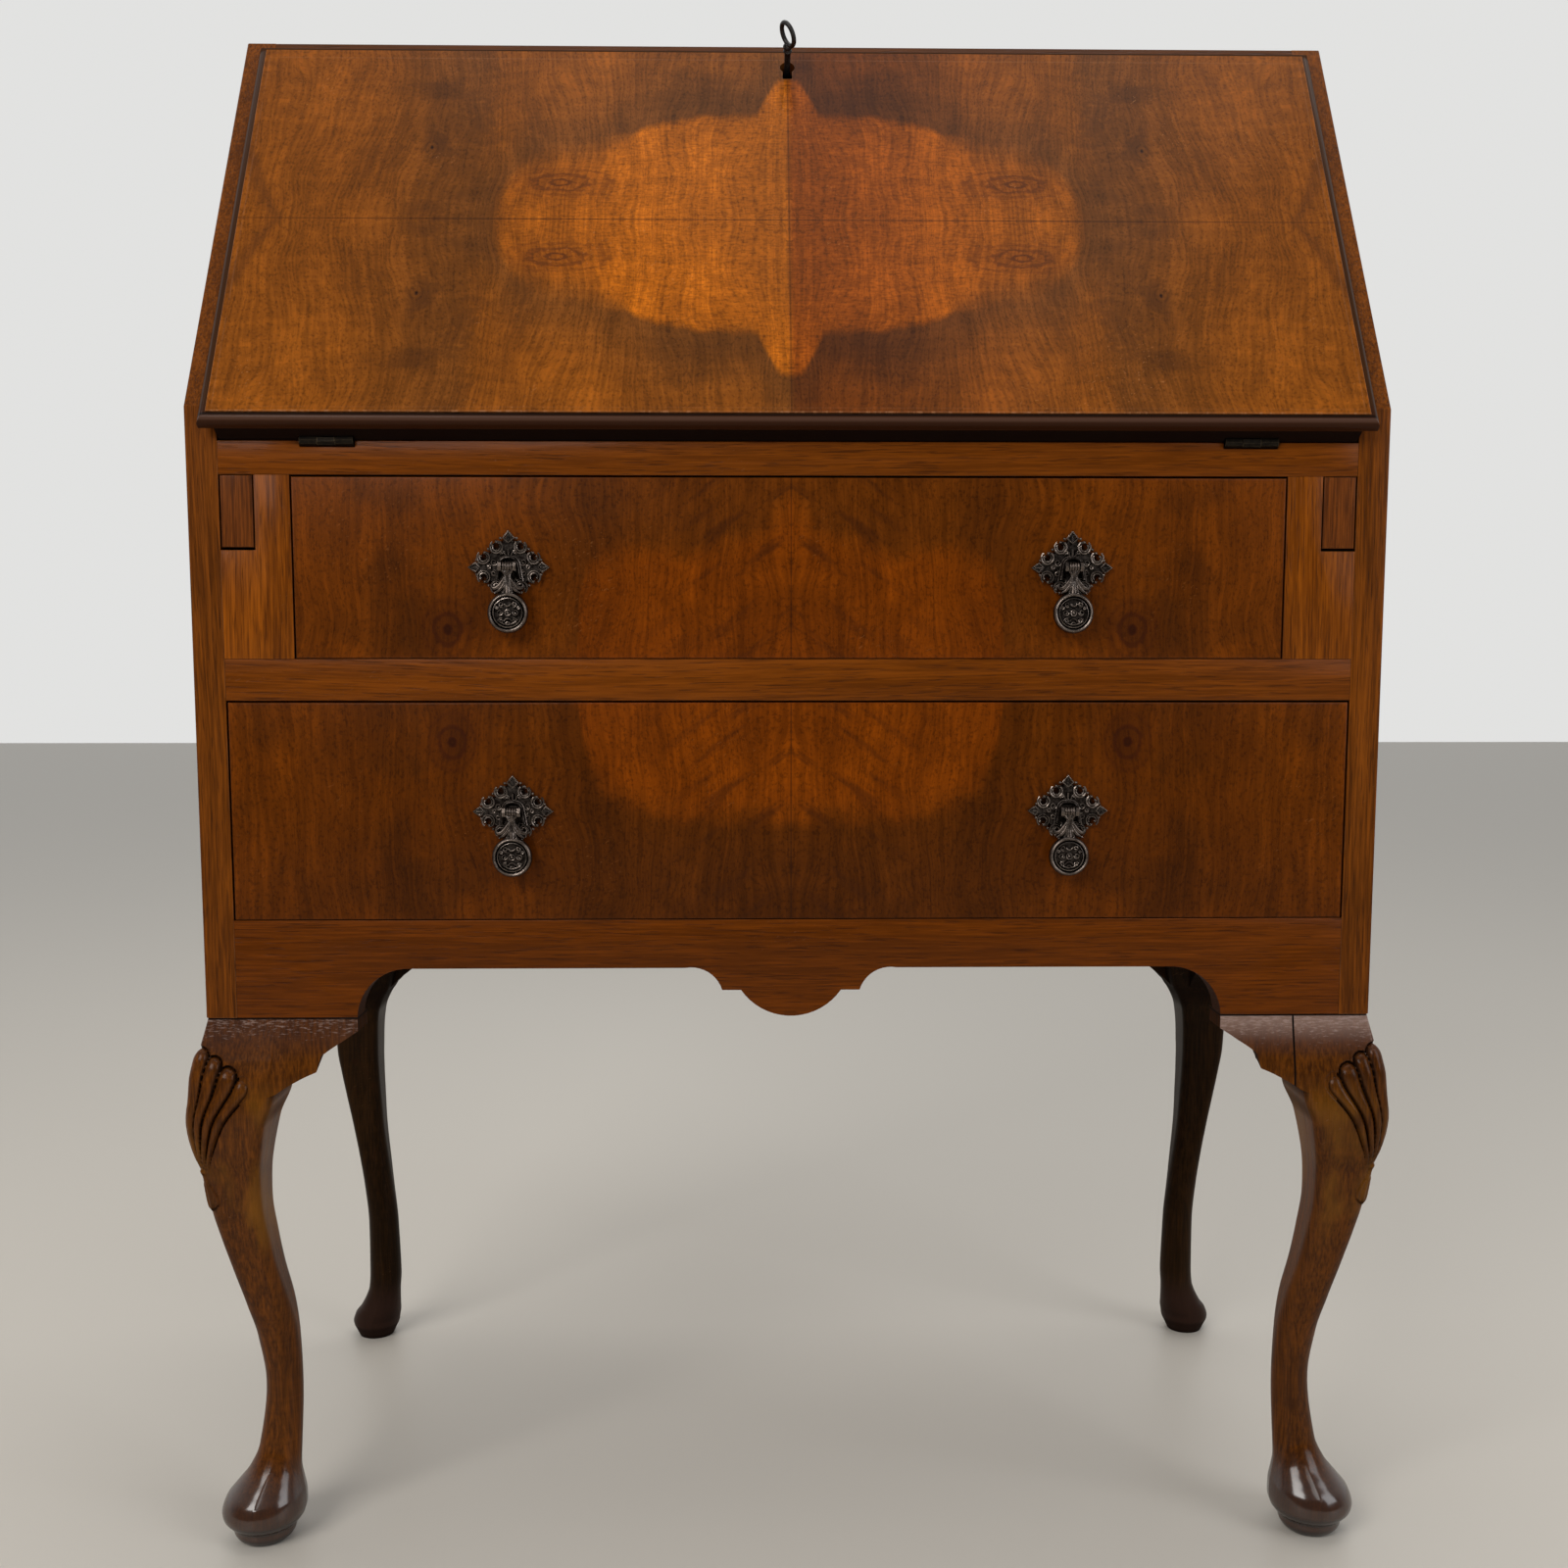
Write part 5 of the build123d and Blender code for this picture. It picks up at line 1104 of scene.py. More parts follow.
# The rear legs are slimmer, and their feet are lower and point more to the corner
REAR_LEG_SHARES = (
    (1.0, 0.500, 1.000, 0.06, 0.04),
    (0.937, 0.467, 1.076, 0.18, 0.06),
    (0.891, 0.379, 1.122, 0.27, 0.14),
    (0.861, 0.313, 1.095, 0.33, 0.20),
    (0.840, 0.250, 0.990, 0.36, 0.24),
    (0.803, 0.182, 0.874, 0.40, 0.30),
    (0.754, 0.168, 0.815, 0.45, 0.34),
    (0.705, 0.170, 0.790, 0.50, 0.38),
    (0.650, 0.215, 0.730, 0.56, 0.42),
    (0.590, 0.283, 0.665, 0.64, 0.48),
    (0.519, 0.370, 0.590, 0.74, 0.56),
    (0.451, 0.465, 0.560, 0.86, 0.70),
    (0.383, 0.550, 0.553, 0.95, 0.90),
    (0.290, 0.638, 0.565, 1.0, 1.0),
    (0.169, 0.655, 0.600, 1.0, 1.0),
    (0.131, 0.627, 0.605, 1.0, 1.0),
    (0.112, 0.593, 0.645, 1.0, 1.0),
    (0.079, 0.513, 0.765, 1.0, 1.0),
    (0.055, 0.430, 0.883, 1.0, 1.0),
    (0.036, 0.390, 0.900, 1.0, 1.0),
    (0.014, 0.385, 0.760, 1.0, 1.0),
    (0.0, 0.385, 0.655, 1.0, 1.0),
)
# Half the breadth of the shell at a height, round the leg from its corner, both in metres
SHELL_BREADTH = (
    (0.258, 0.0040), (0.271, 0.0085), (0.281, 0.0135), (0.290, 0.0180), (0.300, 0.0240), (0.310, 0.0315),
    (0.320, 0.0390), (0.333, 0.0455), (0.340, 0.0490), (0.350, 0.0510),
)
# Where each rib ends across that breadth, as a share of it, and how high each rib reaches
RIB_EDGES = (0.15, 0.38, 0.68, 1.0)
RIB_TOPS = (347 * MM, 340.5 * MM, 333.5 * MM, 325.5 * MM)
# How far a rib's rounded end drops from its middle to its outer edge
RIB_LEANS = (1.5 * MM, 2.5 * MM, 3.2 * MM, 4.5 * MM)
RIB_FOOT = 266 * MM
RIB_CAP = 7 * MM
RIB_RISE = 4.8 * MM
RIB_GROOVE = 2.4 * MM
BUD_HEIGHT = 264 * MM
BUD_RADIUS = 2.4 * MM
LEAF_TOP = 262 * MM
LEAF_TIP = 237 * MM
LEAF_HALF = 7.5 * MM
LEAF_RISE = 2.0 * MM


def fade(value, start, end):
    """Passes smoothly from 0 at the start to 1 at the end, which may lie on either side of it."""
    share = min(max((value - start) / (end - start), 0.0), 1.0)
    return share * share * (3 - 2 * share)


def shell_relief(along, z):
    """Height of the carving at a distance round the leg from its outer corner."""
    along = abs(along)
    relief = 0.0
    if RIB_FOOT - 8 * MM < z < RIB_TOPS[0] + 4 * MM:
        place = along / smooth_row(SHELL_BREADTH, z)[0]
        rib = min(sum(place > share for share in RIB_EDGES), len(RIB_EDGES) - 1)
        start = -RIB_EDGES[0] if rib == 0 else RIB_EDGES[rib - 1]
        across = 2 * (place - start) / (RIB_EDGES[rib] - start) - 1
        cap = max(0.0, (z + RIB_LEANS[rib] * across - RIB_TOPS[rib]) / RIB_CAP + 1)
        body = 1 - min(abs(across), 1.2) ** 2.6 - cap**2
        inside = (1 - fade(place, 1.0, 1.05)) * (1 - fade(-body, 0.15, 0.55))
        depth = fade(z, RIB_FOOT - 8 * MM, RIB_FOOT + 26 * MM)
        relief = inside * depth * (RIB_RISE * math.sqrt(max(body, 0.0)) - RIB_GROOVE)
    bud = 1 - (along**2 + (z - BUD_HEIGHT) ** 2) / BUD_RADIUS**2
    if bud > 0:
        relief = max(relief, 1.8 * MM * math.sqrt(bud))
    if LEAF_TIP < z < LEAF_TOP:
        share = (LEAF_TOP - z) / (LEAF_TOP - LEAF_TIP)
        half = 1.6 * MM + (LEAF_HALF - 1.6 * MM) * fade(share, 0.0, 0.75)
        half *= math.sqrt(max(0.0, 1 - fade(share, 0.72, 1.0)))
        body = 1 - (along / max(half, 0.2 * MM)) ** 2
        if body > 0:
            vein = 0.7 * MM * (1 - fade(along, 0.3 * MM, 1.4 * MM))
            ebb = 1 - fade(along, 0.6 * half, 0.9 * half)
            hollow = 0.8 * MM * fade(along, 0.35 * half, 0.6 * half) * ebb
            relief = max(relief, LEAF_RISE * body**0.35 - vein - hollow)
    return relief


# %% [markdown]
# Each section is walked round from one inner corner to the next: a quarter turn at each corner
# and a straight run between them. The outward direction at each point says which way the
# carving lifts it, and the distance from the outer corner says where on the carving it is.

# %% Leg sections and the four legs
OUTER = 2


def leg_ring(level, outer_steps, side_steps, carved):
    """Points of one section as distances inboard from the carcass corner, and its height."""
    centre, width, outer, inner = smooth_row(LEG_SHARES if carved else REAR_LEG_SHARES, level)
    centre, half = centre * POST, width * POST / 2
    z = level * LEG_HEIGHT
    points = []
    quadrants = ((1, 1), (-1, 1), (-1, -1), (1, -1))
    for index, (side_a, side_b) in enumerate(quadrants):
        radius = half * (outer if index == OUTER else inner)
        steps = outer_steps if index == OUTER else 7
        straight = side_steps if index in (1, OUTER) else 7
        start = math.pi / 2 * index
        for step in range(steps + 1):
            angle = start + math.pi / 2 * step / steps
            along = radius * (angle - math.radians(225)) if index == OUTER else None
            a = centre + side_a * (half - radius) + radius * math.cos(angle)
            b = centre + side_b * (half - radius) + radius * math.sin(angle)
            points.append((a, b, angle, along))
        next_a, next_b = quadrants[(index + 1) % 4]
        next_radius = half * (outer if index + 1 == OUTER else inner)
        angle = start + math.pi / 2
        from_a, from_b = points[-1][0], points[-1][1]
        to_a = centre + next_a * (half - next_radius) + next_radius * math.cos(angle)
        to_b = centre + next_b * (half - next_radius) + next_radius * math.sin(angle)
        run = math.hypot(to_a - from_a, to_b - from_b)
        for step in range(1, straight):
            share = step / straight
            along = None
            if index == 1:
                along = -(1 - share) * run - next_radius * math.pi / 4
            if index == OUTER:
                along = share * run + radius * math.pi / 4
            points.append((from_a + share * (to_a - from_a), from_b + share * (to_b - from_b), angle, along))
    ring = []
    for a, b, angle, along in points:
        lift = shell_relief(along, z) if carved and along is not None else 0.0
        ring.append((a + lift * math.cos(angle), b + lift * math.sin(angle), z))
    return ring


def spread_levels(spans):
    """Heights from the floor up, with a chosen pitch in each span."""
    levels = [0.0]
    for top, pitch in spans:
        count = max(1, round((top - levels[-1]) / pitch))
        start = levels[-1]
        levels += [start + (top - start) * (index + 1) / count for index in range(count)]
    return [level / LEG_HEIGHT for level in levels]


def place_leg(ring, side, rear):
    """Stands a section under one corner of the carcass."""
    return [
        (side * (half_width - a), back - b if rear else front + b, z)
        for a, b, z in ring
    ]


def add_leg(name, side, rear, material):
    if rear:
        levels = spread_levels(((60 * MM, 1.5 * MM), (LEG_HEIGHT, 3 * MM)))
        rings = [leg_ring(level, 10, 8, False) for level in levels]
    else:
        levels = spread_levels(((60 * MM, 1.5 * MM), (230 * MM, 3 * MM), (LEG_HEIGHT, 0.8 * MM)))
        rings = [leg_ring(level, 22, 50, True) for level in levels]
    mesh = bmesh.new()
    skin(mesh, [place_leg(ring, side, rear) for ring in rings])
    add_piece(name, mesh, "carcass", material, [name], smooth=60)


# %% [markdown]
# ## Leg finish
# The legs are dark polished walnut. Their top edges, where the carcass overhangs them a little,
# have lost their colour and show a silvery band: worn polish with a painted sheen and painted
# highlights in fine strokes. Grime and painted shade fill the carving's grooves, a painted shadow
# line runs under the carcass, and the knee has golden patches where the stain has worn thin.

# %% Leg walnut
TOP_ZONE = 30 * MM
JOINT_DROP = 50 * MM
JOINT_INBOARD = 50 * MM
FOOT_ZONE = (30 * MM, 62 * MM)
GOLD_BAND = (196 * MM, 226 * MM, 296 * MM, 330 * MM)


def leg_finish(name, light, dark, band):
    material, w = new_material(name)
    place = w.add("ShaderNodeTexCoord").outputs["Object"]
    wood = w.group(
        walnut_grain, Place=place, Light=tone(*light), Dark=tone(*dark), Streaks=0.95, Ripple=0.15, Pores=0.3
    )
    x, y, z = w.split(place)
    right = w.step(x, -0.05, 0.05)
    edge = w.group(edge_wear, Place=place, Breadth=0.0012, Evenness=0.42)["Mask"]
    dirt_and_shade = w.group(hollow_dirt_and_shade, Reach=0.005, Amount=0.95)["Mask"]
    marks = w.group(scratches, Place=place, Amount=0.7)["Mask"]
    thin = w.step(w.noise(place, (24, 24, 12), 3, 0.6), 0.40, 0.62)
    gold = w.times(w.step(z, GOLD_BAND[0], GOLD_BAND[1]), w.step(z, GOLD_BAND[3], GOLD_BAND[2]))
    gold = w.times(w.times(gold, thin), 0.75 * band)
    colour = w.blend(gold, wood["Color"], tone(124, 78, 17))
    level = w.times_plus(right, -0.16 * band, 1.0)
    colour = w.blend(1.0, colour, level, "MULTIPLY")
    blots = w.step(w.noise(place, (150, 150, 90), 3, 0.6), 0.58, 0.72)
    colour = w.stain(colour, blots, 0.28, tone(46, 22, 8))
    foot_zone = w.step(z, FOOT_ZONE[1], FOOT_ZONE[0])
    colour = w.stain(colour, foot_zone, 0.78, tone(50, 33, 27))
    colour = w.stain(colour, edge, 0.6, tone(126, 88, 60))
    colour = w.stain(colour, marks, 0.4, tone(130, 92, 62))
    top_zone = w.step(z, LEG_HEIGHT - TOP_ZONE, LEG_HEIGHT - 0.4 * TOP_ZONE)
    facing = w.split(w.add("ShaderNodeNewGeometry").outputs["Normal"])
    aside = w.times(w.math("SIGN", x), facing[0])
    outward = w.step(w.most(aside, w.times(facing[1], -1.0)), 0.3, 0.7)
    top_zone = w.times(top_zone, outward)
    # Worn polish with a painted sheen on the upward-sloping top of the legs, stronger on the right leg
    bare = w.times(top_zone, w.times_plus(right, 0.28, 0.44))
    near_top = w.step(z, LEG_HEIGHT - 0.7 * TOP_ZONE, LEG_HEIGHT - 2 * MM)
    silvery_sheen = w.blend(near_top, tone(84, 58, 49), tone(142, 118, 108))
    colour = w.blend(w.times(bare, band), colour, w.blend(right, tone(60, 40, 35), silvery_sheen))
    # Painted highlights in fine strokes near the top
    strokes = w.noise(place, (210, 210, 1000), 3, 0.7)
    fleck_highlights = w.plus(w.times_plus(near_top, 0.16, strokes), w.times(right, 0.05))
    fleck_highlights = w.times(w.step(fleck_highlights, 0.64, 0.82), top_zone)
    colour = w.blend(w.times(fleck_highlights, 0.38 * band), colour, tone(176, 154, 146))
    from_post = w.math("ABSOLUTE", w.minus(x, half_width - JOINT_INBOARD))
    joint = w.times(w.step(from_post, 0.9 * MM, 0.4 * MM), w.step(y, front + 14 * MM, front + 10 * MM))
    joint = w.times(joint, w.math("GREATER_THAN", z, LEG_HEIGHT - JOINT_DROP))
    # A painted shadow line just under the carcass, and the real dark seam between post and block
    shadow_under_carcass = w.step(z, LEG_HEIGHT - 1.6 * MM, LEG_HEIGHT - 0.8 * MM)
    colour = w.blend(w.most(joint, shadow_under_carcass), colour, tone(14, 8, 6))
    # Painted shade on the legs' undersides and inboard end faces, which are also unpolished
    sawn_and_shaded = w.times(w.step(aside, -0.5, -0.85), w.step(z, LEG_HEIGHT - 60 * MM, LEG_HEIGHT - 45 * MM))
    sawn_and_shaded = w.most(sawn_and_shaded, w.step(facing[2], -0.15, -0.6))
    colour = w.stain(colour, sawn_and_shaded, 0.7, tone(20, 12, 8))
    # Wax in the carving's grooves, with painted shade there and in other hollows
    colour = w.blend(dirt_and_shade, colour, tone(18, 9, 5))
    roughness = w.plus(wood["Sheen"], w.times_plus(bare, -0.08 * band, 0.36))
    roughness = w.plus(roughness, w.times(sawn_and_shaded, 0.5))
    coat = 0.0
    if band:
        coat = w.times_plus(sawn_and_shaded, -0.10, w.times_plus(foot_zone, 0.75, 0.10))
    shader = shade(w, colour, roughness, wood["Height"], 0.0002, coat=coat, coat_roughness=0.16)
    shader.inputs["Coat IOR"].default_value = 1.7
    return material


leg_walnut = leg_finish("leg_walnut", (114, 62, 13), (60, 30, 6), 1.0)
# The rear legs wear a darker copy of the leg walnut: partly a darker stain, partly painted shade
rear_leg_walnut_shaded = leg_finish("rear_leg_walnut_shaded", (50, 30, 11), (24, 14, 5), 0.0)
for side_name, side in (("left", -1), ("right", 1)):
    add_leg(f"leg_front_{side_name}", side, False, leg_walnut)
    add_leg(f"leg_rear_{side_name}", side, True, rear_leg_walnut_shaded)

# %% [markdown]
# ## Knee blocks
# A shaped block beside each leg carries the knee's swell out under the rail, with a small cusp
# halfway along its lower edge. It is skinned from upright columns. At the leg each column is as
# proud as the leg's own face, so that the two read as one piece, and the swell fades from there.

# %% Knee blocks
BLOCK_REACH = 98 * MM
BLOCK_THICK = 26 * MM
BLOCK_DROP = 84 * MM
BLOCK_ROOT = 22 * MM
# Lower edge from the tip to the root: share of the reach beyond the post, share of the drop
CUSP = 0.51
BLOCK_TIP_SHARES = (
    (CUSP, 0.385), (0.545, 0.305), (0.60, 0.278), (0.69, 0.238), (0.78, 0.202), (0.89, 0.155),
    (1.0, 0.11),
)
BLOCK_ROOT_SHARES = (
    (-0.42, 0.66), (-0.17, 0.62), (0.0, 0.585), (0.113, 0.54),
    (0.19, 0.512), (0.264, 0.488), (0.36, 0.458), (CUSP, 0.42),
)
REAR_BLOCK_SHARES = (
    (-0.42, 0.75), (-0.12, 0.60), (0.03, 0.508), (0.19, 0.43),
    (0.40, 0.33), (0.62, 0.25), (0.80, 0.20), (1.0, 0.16),
)
# The back of a block's lower edge is cut away, by this share of its reach
BACK_BEVEL = 0.10
# The swell starts to fade at the post's inner edge, a hair below the leg's own face
SWELL_START = 38 * MM
SWELL_SINK = 0.12 * MM
BLOCK_COLUMNS = 56
BLOCK_ROWS = 40


def knee_swell(z, rear):
    """How far the leg's outer face stands out from the carcass at a height."""
    centre, width = smooth_row(REAR_LEG_SHARES if rear else LEG_SHARES, z / LEG_HEIGHT)[:2]
    return (width / 2 - centre) * POST


def block_foot(share, rear):
    """How far the lower edge hangs down at a share of the reach."""
    table = BLOCK_TIP_SHARES if share > CUSP else BLOCK_ROOT_SHARES
    return smooth_row(REAR_BLOCK_SHARES if rear else table, share)[0] * BLOCK_DROP


def add_knee_block_mesh(mesh, to_world, rear):
    """One block: columns across, each a ring that goes down the face and up the back."""
    rings = []
    reach = BLOCK_REACH - POST
    root_share = -BLOCK_ROOT / reach
    for column in range(BLOCK_COLUMNS + 1):
        share = 1.0 - (1.0 - root_share) * column / BLOCK_COLUMNS
        inboard = POST + share * reach
        foot = block_foot(share, rear)
        back_foot = foot if rear else min(foot, block_foot(min(share + BACK_BEVEL, 1.0), rear))
        fading = fade(inboard, BLOCK_REACH, SWELL_START)
        ring = []
        for row in range(BLOCK_ROWS + 1):
            down = foot * row / BLOCK_ROWS
            out = knee_swell(LEG_HEIGHT - down, rear) * fading
            ring.append(to_world(inboard, SWELL_SINK - out, LEG_HEIGHT - down))
        ring.append(to_world(inboard, BLOCK_THICK, LEG_HEIGHT - back_foot))
        ring.append(to_world(inboard, BLOCK_THICK, LEG_HEIGHT))
        rings.append(ring)
    skin(mesh, rings)


def add_knee_blocks(name, rear, material):
    mesh = bmesh.new()
    for side in (-1, 1):
        def along_front(inboard, out, z, side=side):
            return (side * (half_width - inboard), (back - out) if rear else (front + out), z)

        def along_side(inboard, out, z, side=side):
            return (side * (half_width - out), (back - inboard) if rear else (front + inboard), z)

        add_knee_block_mesh(mesh, along_front, rear)
        add_knee_block_mesh(mesh, along_side, rear)
    add_piece(name, mesh, "carcass", material, [name], smooth=40)


add_knee_blocks("knee_blocks_front", False, leg_walnut)
add_knee_blocks("knee_blocks_rear", True, rear_leg_walnut_shaded)

# %% [markdown]
# ## Moulded edge of the fall
# Four strips frame the fall and lap over the carcass. Each has a thumbnail moulding: a quarter
# round, then a small step up to the flat. The piece is one skin, drawn by carrying that profile
# round a rectangle, which makes the four mitres by itself.

# %% Fall moulding
MOULD_WIDTH = 5.2 * MM
QUIRK = 1.2 * MM
QUIRK_FLAT = 0.8 * MM
FOOT_STRIP = 10 * MM
ROUND_STEPS = 9


def on_fall(across, up, out):
    """A point given across the fall, up its slope and out of its face."""
    return hinge_at + Vector((across, 0, 0)) + up_slope * up + out_face * out


def rim_ring(inset, out):
    """The four corners of the fall's rim, at a distance in from its edge."""
    half, foot, head = fall_half - inset, fall_foot + inset, fall_head - inset
    return [on_fall(x, up, out) for x, up in ((-half, foot), (half, foot), (half, head), (-half, head))]


def field_ring(out):
    """The four corners of the board that the strips surround."""
    return [
        on_fall(x, up, out)
        for x, up in (
            (-panel_half, FOOT_STRIP), (panel_half, FOOT_STRIP),
            (panel_half, panel_head), (-panel_half, panel_head),
        )
    ]


def add_fall_moulding():
    shelf = fall_thick - QUIRK
    rings = [field_ring(lip_back), rim_ring(0.4 * MM, lip_back), rim_ring(0, lip_back + 0.4 * MM)]
    for step in range(ROUND_STEPS + 1):
        turn = math.pi / 2 * step / ROUND_STEPS
        inset = MOULD_WIDTH * (1 - math.cos(turn))
        rings.append(rim_ring(inset, shelf - MOULD_WIDTH * (1 - math.sin(turn))))
    rings.append(rim_ring(MOULD_WIDTH + QUIRK_FLAT, shelf))
    rings.append(rim_ring(MOULD_WIDTH + QUIRK_FLAT, fall_thick - 0.3 * MM))
    rings.append(rim_ring(MOULD_WIDTH + QUIRK_FLAT + 0.3 * MM, fall_thick))
    rings.append(field_ring(fall_thick))
    mesh = bmesh.new()
    rows = skin(mesh, rings, caps=False)
    for index in range(4):
        beside = (index + 1) % 4
        mesh.faces.new((rows[-1][index], rows[-1][beside], rows[0][beside], rows[0][index]))
    add_piece("fall_moulding", mesh, "fall", fall_veneer, ["fall_edging"], smooth=25)


add_fall_moulding()

# %% [markdown]
# ## Softened edges
# No old board has a sharp edge. The pieces below are the CAD boards with a small round on the
# edges that show: the mesh is cleaned of its flat inner edges, then the sharp ones are beveled.

# %% Boards with softened edges
def soften(name, body, material, radius, chosen=None, steps=3):
    """A rounded copy of a CAD node. Chosen picks edges by their two ends."""
    mesh = bmesh.new()
    mesh.from_mesh(nodes[name].data)
    bmesh.ops.remove_doubles(mesh, verts=mesh.verts, dist=1e-6)
    bmesh.ops.dissolve_limit(mesh, angle_limit=math.radians(1), verts=mesh.verts, edges=mesh.edges)
    edges = [
        edge
        for edge in mesh.edges
        if len(edge.link_faces) == 2
        and edge.calc_face_angle() > math.radians(35)
        and (chosen is None or chosen(edge.verts[0].co, edge.verts[1].co))
    ]
    bmesh.ops.bevel(
        mesh, geom=edges, offset=radius, segments=steps, affect="EDGES", profile=0.5, clamp_overlap=True
    )
    add_piece(f"{name}_soft", mesh, body, material, [name], smooth=40)


def front_rim(name, margin=1 * MM):
    """Picks the outline of a board's front face, without the holes in it."""
    low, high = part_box(name)

    def chosen(first, second):
        outline = all(
            min(
                abs(point.x - low.x), abs(point.x - high.x), abs(point.z - low.z), abs(point.z - high.z)
            ) < margin
            for point in (first, second)
        )
        return outline and max(first.y, second.y) < low.y + margin

    return chosen


def facing_front(name, margin=1 * MM):
    """Picks every sharp edge in a board's front plane."""
    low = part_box(name)[0]
    return lambda first, second: max(first.y, second.y) < low.y + margin


for level, veneer in (("upper", upper_veneer), ("lower", lower_veneer)):
    node = f"{level}_drawer_front"
    soften(node, f"{level}_drawer", veneer, 1.1 * MM, front_rim(node))
for side in ("left", "right"):
    node = f"loper_{side}"
    soften(node, node, loper_wood, 0.9 * MM, facing_front(node, 2 * MM))
    node = f"loper_stile_{side}"
    soften(node, "carcass", stile_wood, 0.35 * MM, facing_front(node), 2)
front_boards = (
    ("writing_board", carcass_level), ("divider_rail", carcass_level), ("apron_rail", apron_wood_shaded),
)
for node, wood in front_boards:
    soften(node, "carcass", wood, 0.4 * MM, facing_front(node), 2)


def outer_edges(name):
    """Picks the edges of a side board that lie in its outer face."""
    low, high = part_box(name)
    outer = max(abs(low.x), abs(high.x))
    return lambda first, second: min(abs(first.x), abs(second.x)) > outer - 0.1 * MM


for side in ("left", "right"):
    node = f"side_{side}"
    soften(node, "carcass", carcass_upright, 1.0 * MM, outer_edges(node))
soften(
    "top_board", "carcass", carcass_level, 0.5 * MM,
    lambda a, b: min(a.z, b.z) > carcass_top - 0.1 * MM, 2
)

# %% [markdown]
# ## Bent wire and turned shapes
# Castings are built here like wax models: wires laid along a path, and turned shapes that are a
# profile spun about an axis. Both are skins of rings.

# %% Wires and turnings
def wire(mesh, path, radius, sides=7, closed=False):
    """A round wire along a path. The radius may change from point to point."""
    count = len(path)
    radii = radius if isinstance(radius, (list, tuple)) else [radius] * count
    across = None
    rings = []
    for index, point in enumerate(path):
        before = path[index - 1] if closed or index else point
        after = path[(index + 1) % count] if closed or index < count - 1 else point
        along = (after - before).normalized()
        if across is None:
            across = along.orthogonal().normalized()
        across = (across - along * across.dot(along)).normalized()
        over = along.cross(across)
        rings.append([
            point + (across * math.cos(turn) + over * math.sin(turn)) * radii[index]
            for turn in [2 * math.pi * side / sides for side in range(sides)]
        ])
    if closed:
        rings.append(rings[0])
    rows = skin(mesh, rings, caps=not closed)
    if closed:
        bmesh.ops.remove_doubles(mesh, verts=rows[0] + rows[-1], dist=1e-7)


def turned(mesh, profile, origin, axis, sides=36):
    """A profile of (distance along the axis, radius) pairs, spun about the axis."""
    axis = axis.normalized()
    across = axis.orthogonal().normalized()
    over = axis.cross(across)
    rings = [
        [
            origin + axis * along
            + (across * math.cos(turn) + over * math.sin(turn)) * max(radius, 0.02 * MM)
            for turn in [2 * math.pi * side / sides for side in range(sides)]
        ]
        for along, radius in profile
    ]
    skin(mesh, rings)


def curved(points, steps=5):
    """A smooth path through points (Catmull-Rom)."""
    points = [Vector(point) for point in points]
    padded = [points[0] * 2 - points[1], *points, points[-1] * 2 - points[-2]]
    path = []
    for index in range(1, len(padded) - 2):
        a, b, c, d = padded[index - 1:index + 3]
        for step in range(steps):
            t = step / steps
            square = (2 * a - 5 * b + 4 * c - d) * t**2
            cube = (3 * b - a - 3 * c + d) * t**3
            path.append(0.5 * (2 * b + (c - a) * t + square + cube))
    path.append(points[-1])
    return path


def arc(centre, radius, start, end, count=16):
    """Points of an arc in the casting's flat plane, its angles in degrees."""
    turns = [math.radians(start + (end - start) * step / count) for step in range(count + 1)]
    return [(centre[0] + radius * math.cos(turn), centre[1] + radius * math.sin(turn)) for turn in turns]


def curl(centre, radius, start, turns, shrink=0.3, count=18):
    """A spiral that winds in from its radius to a share of it."""
    path = []
    for step in range(count + 1):
        share = step / count
        turn = math.radians(start + 360 * turns * share)
        reach_now = radius * (1 - (1 - shrink) * share)
        path.append((centre[0] + reach_now * math.cos(turn), centre[1] + reach_now * math.sin(turn)))
    return path


# %% [markdown]
# ## Backplates of the pulls
# Each backplate is a pierced lozenge. Eight double rings sit along its edges, a small diamond
# frame closes each tip, curls fill the middle, beads run along the rim, and a horseshoe arch
# stands round the pivot of the drop. All numbers are millimetres from the plate's centre.

# %% Backplates
PLATE_FACE = 2.4
LOZENGE = (26.0, 23.2)
RING_PLACES = ((7.6, 12.7), (15.9, 6.1))
TIP_FRAMES = (
    ((0, 22.7), (3.4, 18.3), (0, 15.4), (-3.4, 18.3)),
    ((25.4, 0), (21.0, 3.0), (18.4, 0), (21.0, -3.0)),
)
CURLS = (
    (9.2, 3.2, 2.3, 200), (12.4, 0.2, 1.6, 20), (9.4, -3.6, 2.1, 90), (4.0, 9.4, 1.5, 300),
    (5.2, -8.6, 1.9, 40),
)
ARCH = ((-7.2, -7.6), (-6.5, -4.0), (-5.9, 0.0), (-5.2, 3.0), (-3.2, 5.3), (0.0, 6.1))
BEAD_SHARES = (0.20, 0.30, 0.40, 0.50, 0.60, 0.70, 0.80)


def mirrored(points, across=1, up=1):
    return [(x * across, z * up) for x, z in points]


def trim_to_lozenge(mesh, offset, height):
    """Draws every point that lies outside the plates' lozenge back to its straight edges."""
    for vertex in mesh.verts:
        middle = math.copysign(offset, vertex.co.x)
        u, v = (vertex.co.x - middle) / MM, (vertex.co.z - height) / MM
        beyond = abs(u) / LOZENGE[0] + abs(v) / LOZENGE[1]
        if beyond > 1:
            vertex.co.x = middle + u / beyond * MM
            vertex.co.z = height + v / beyond * MM


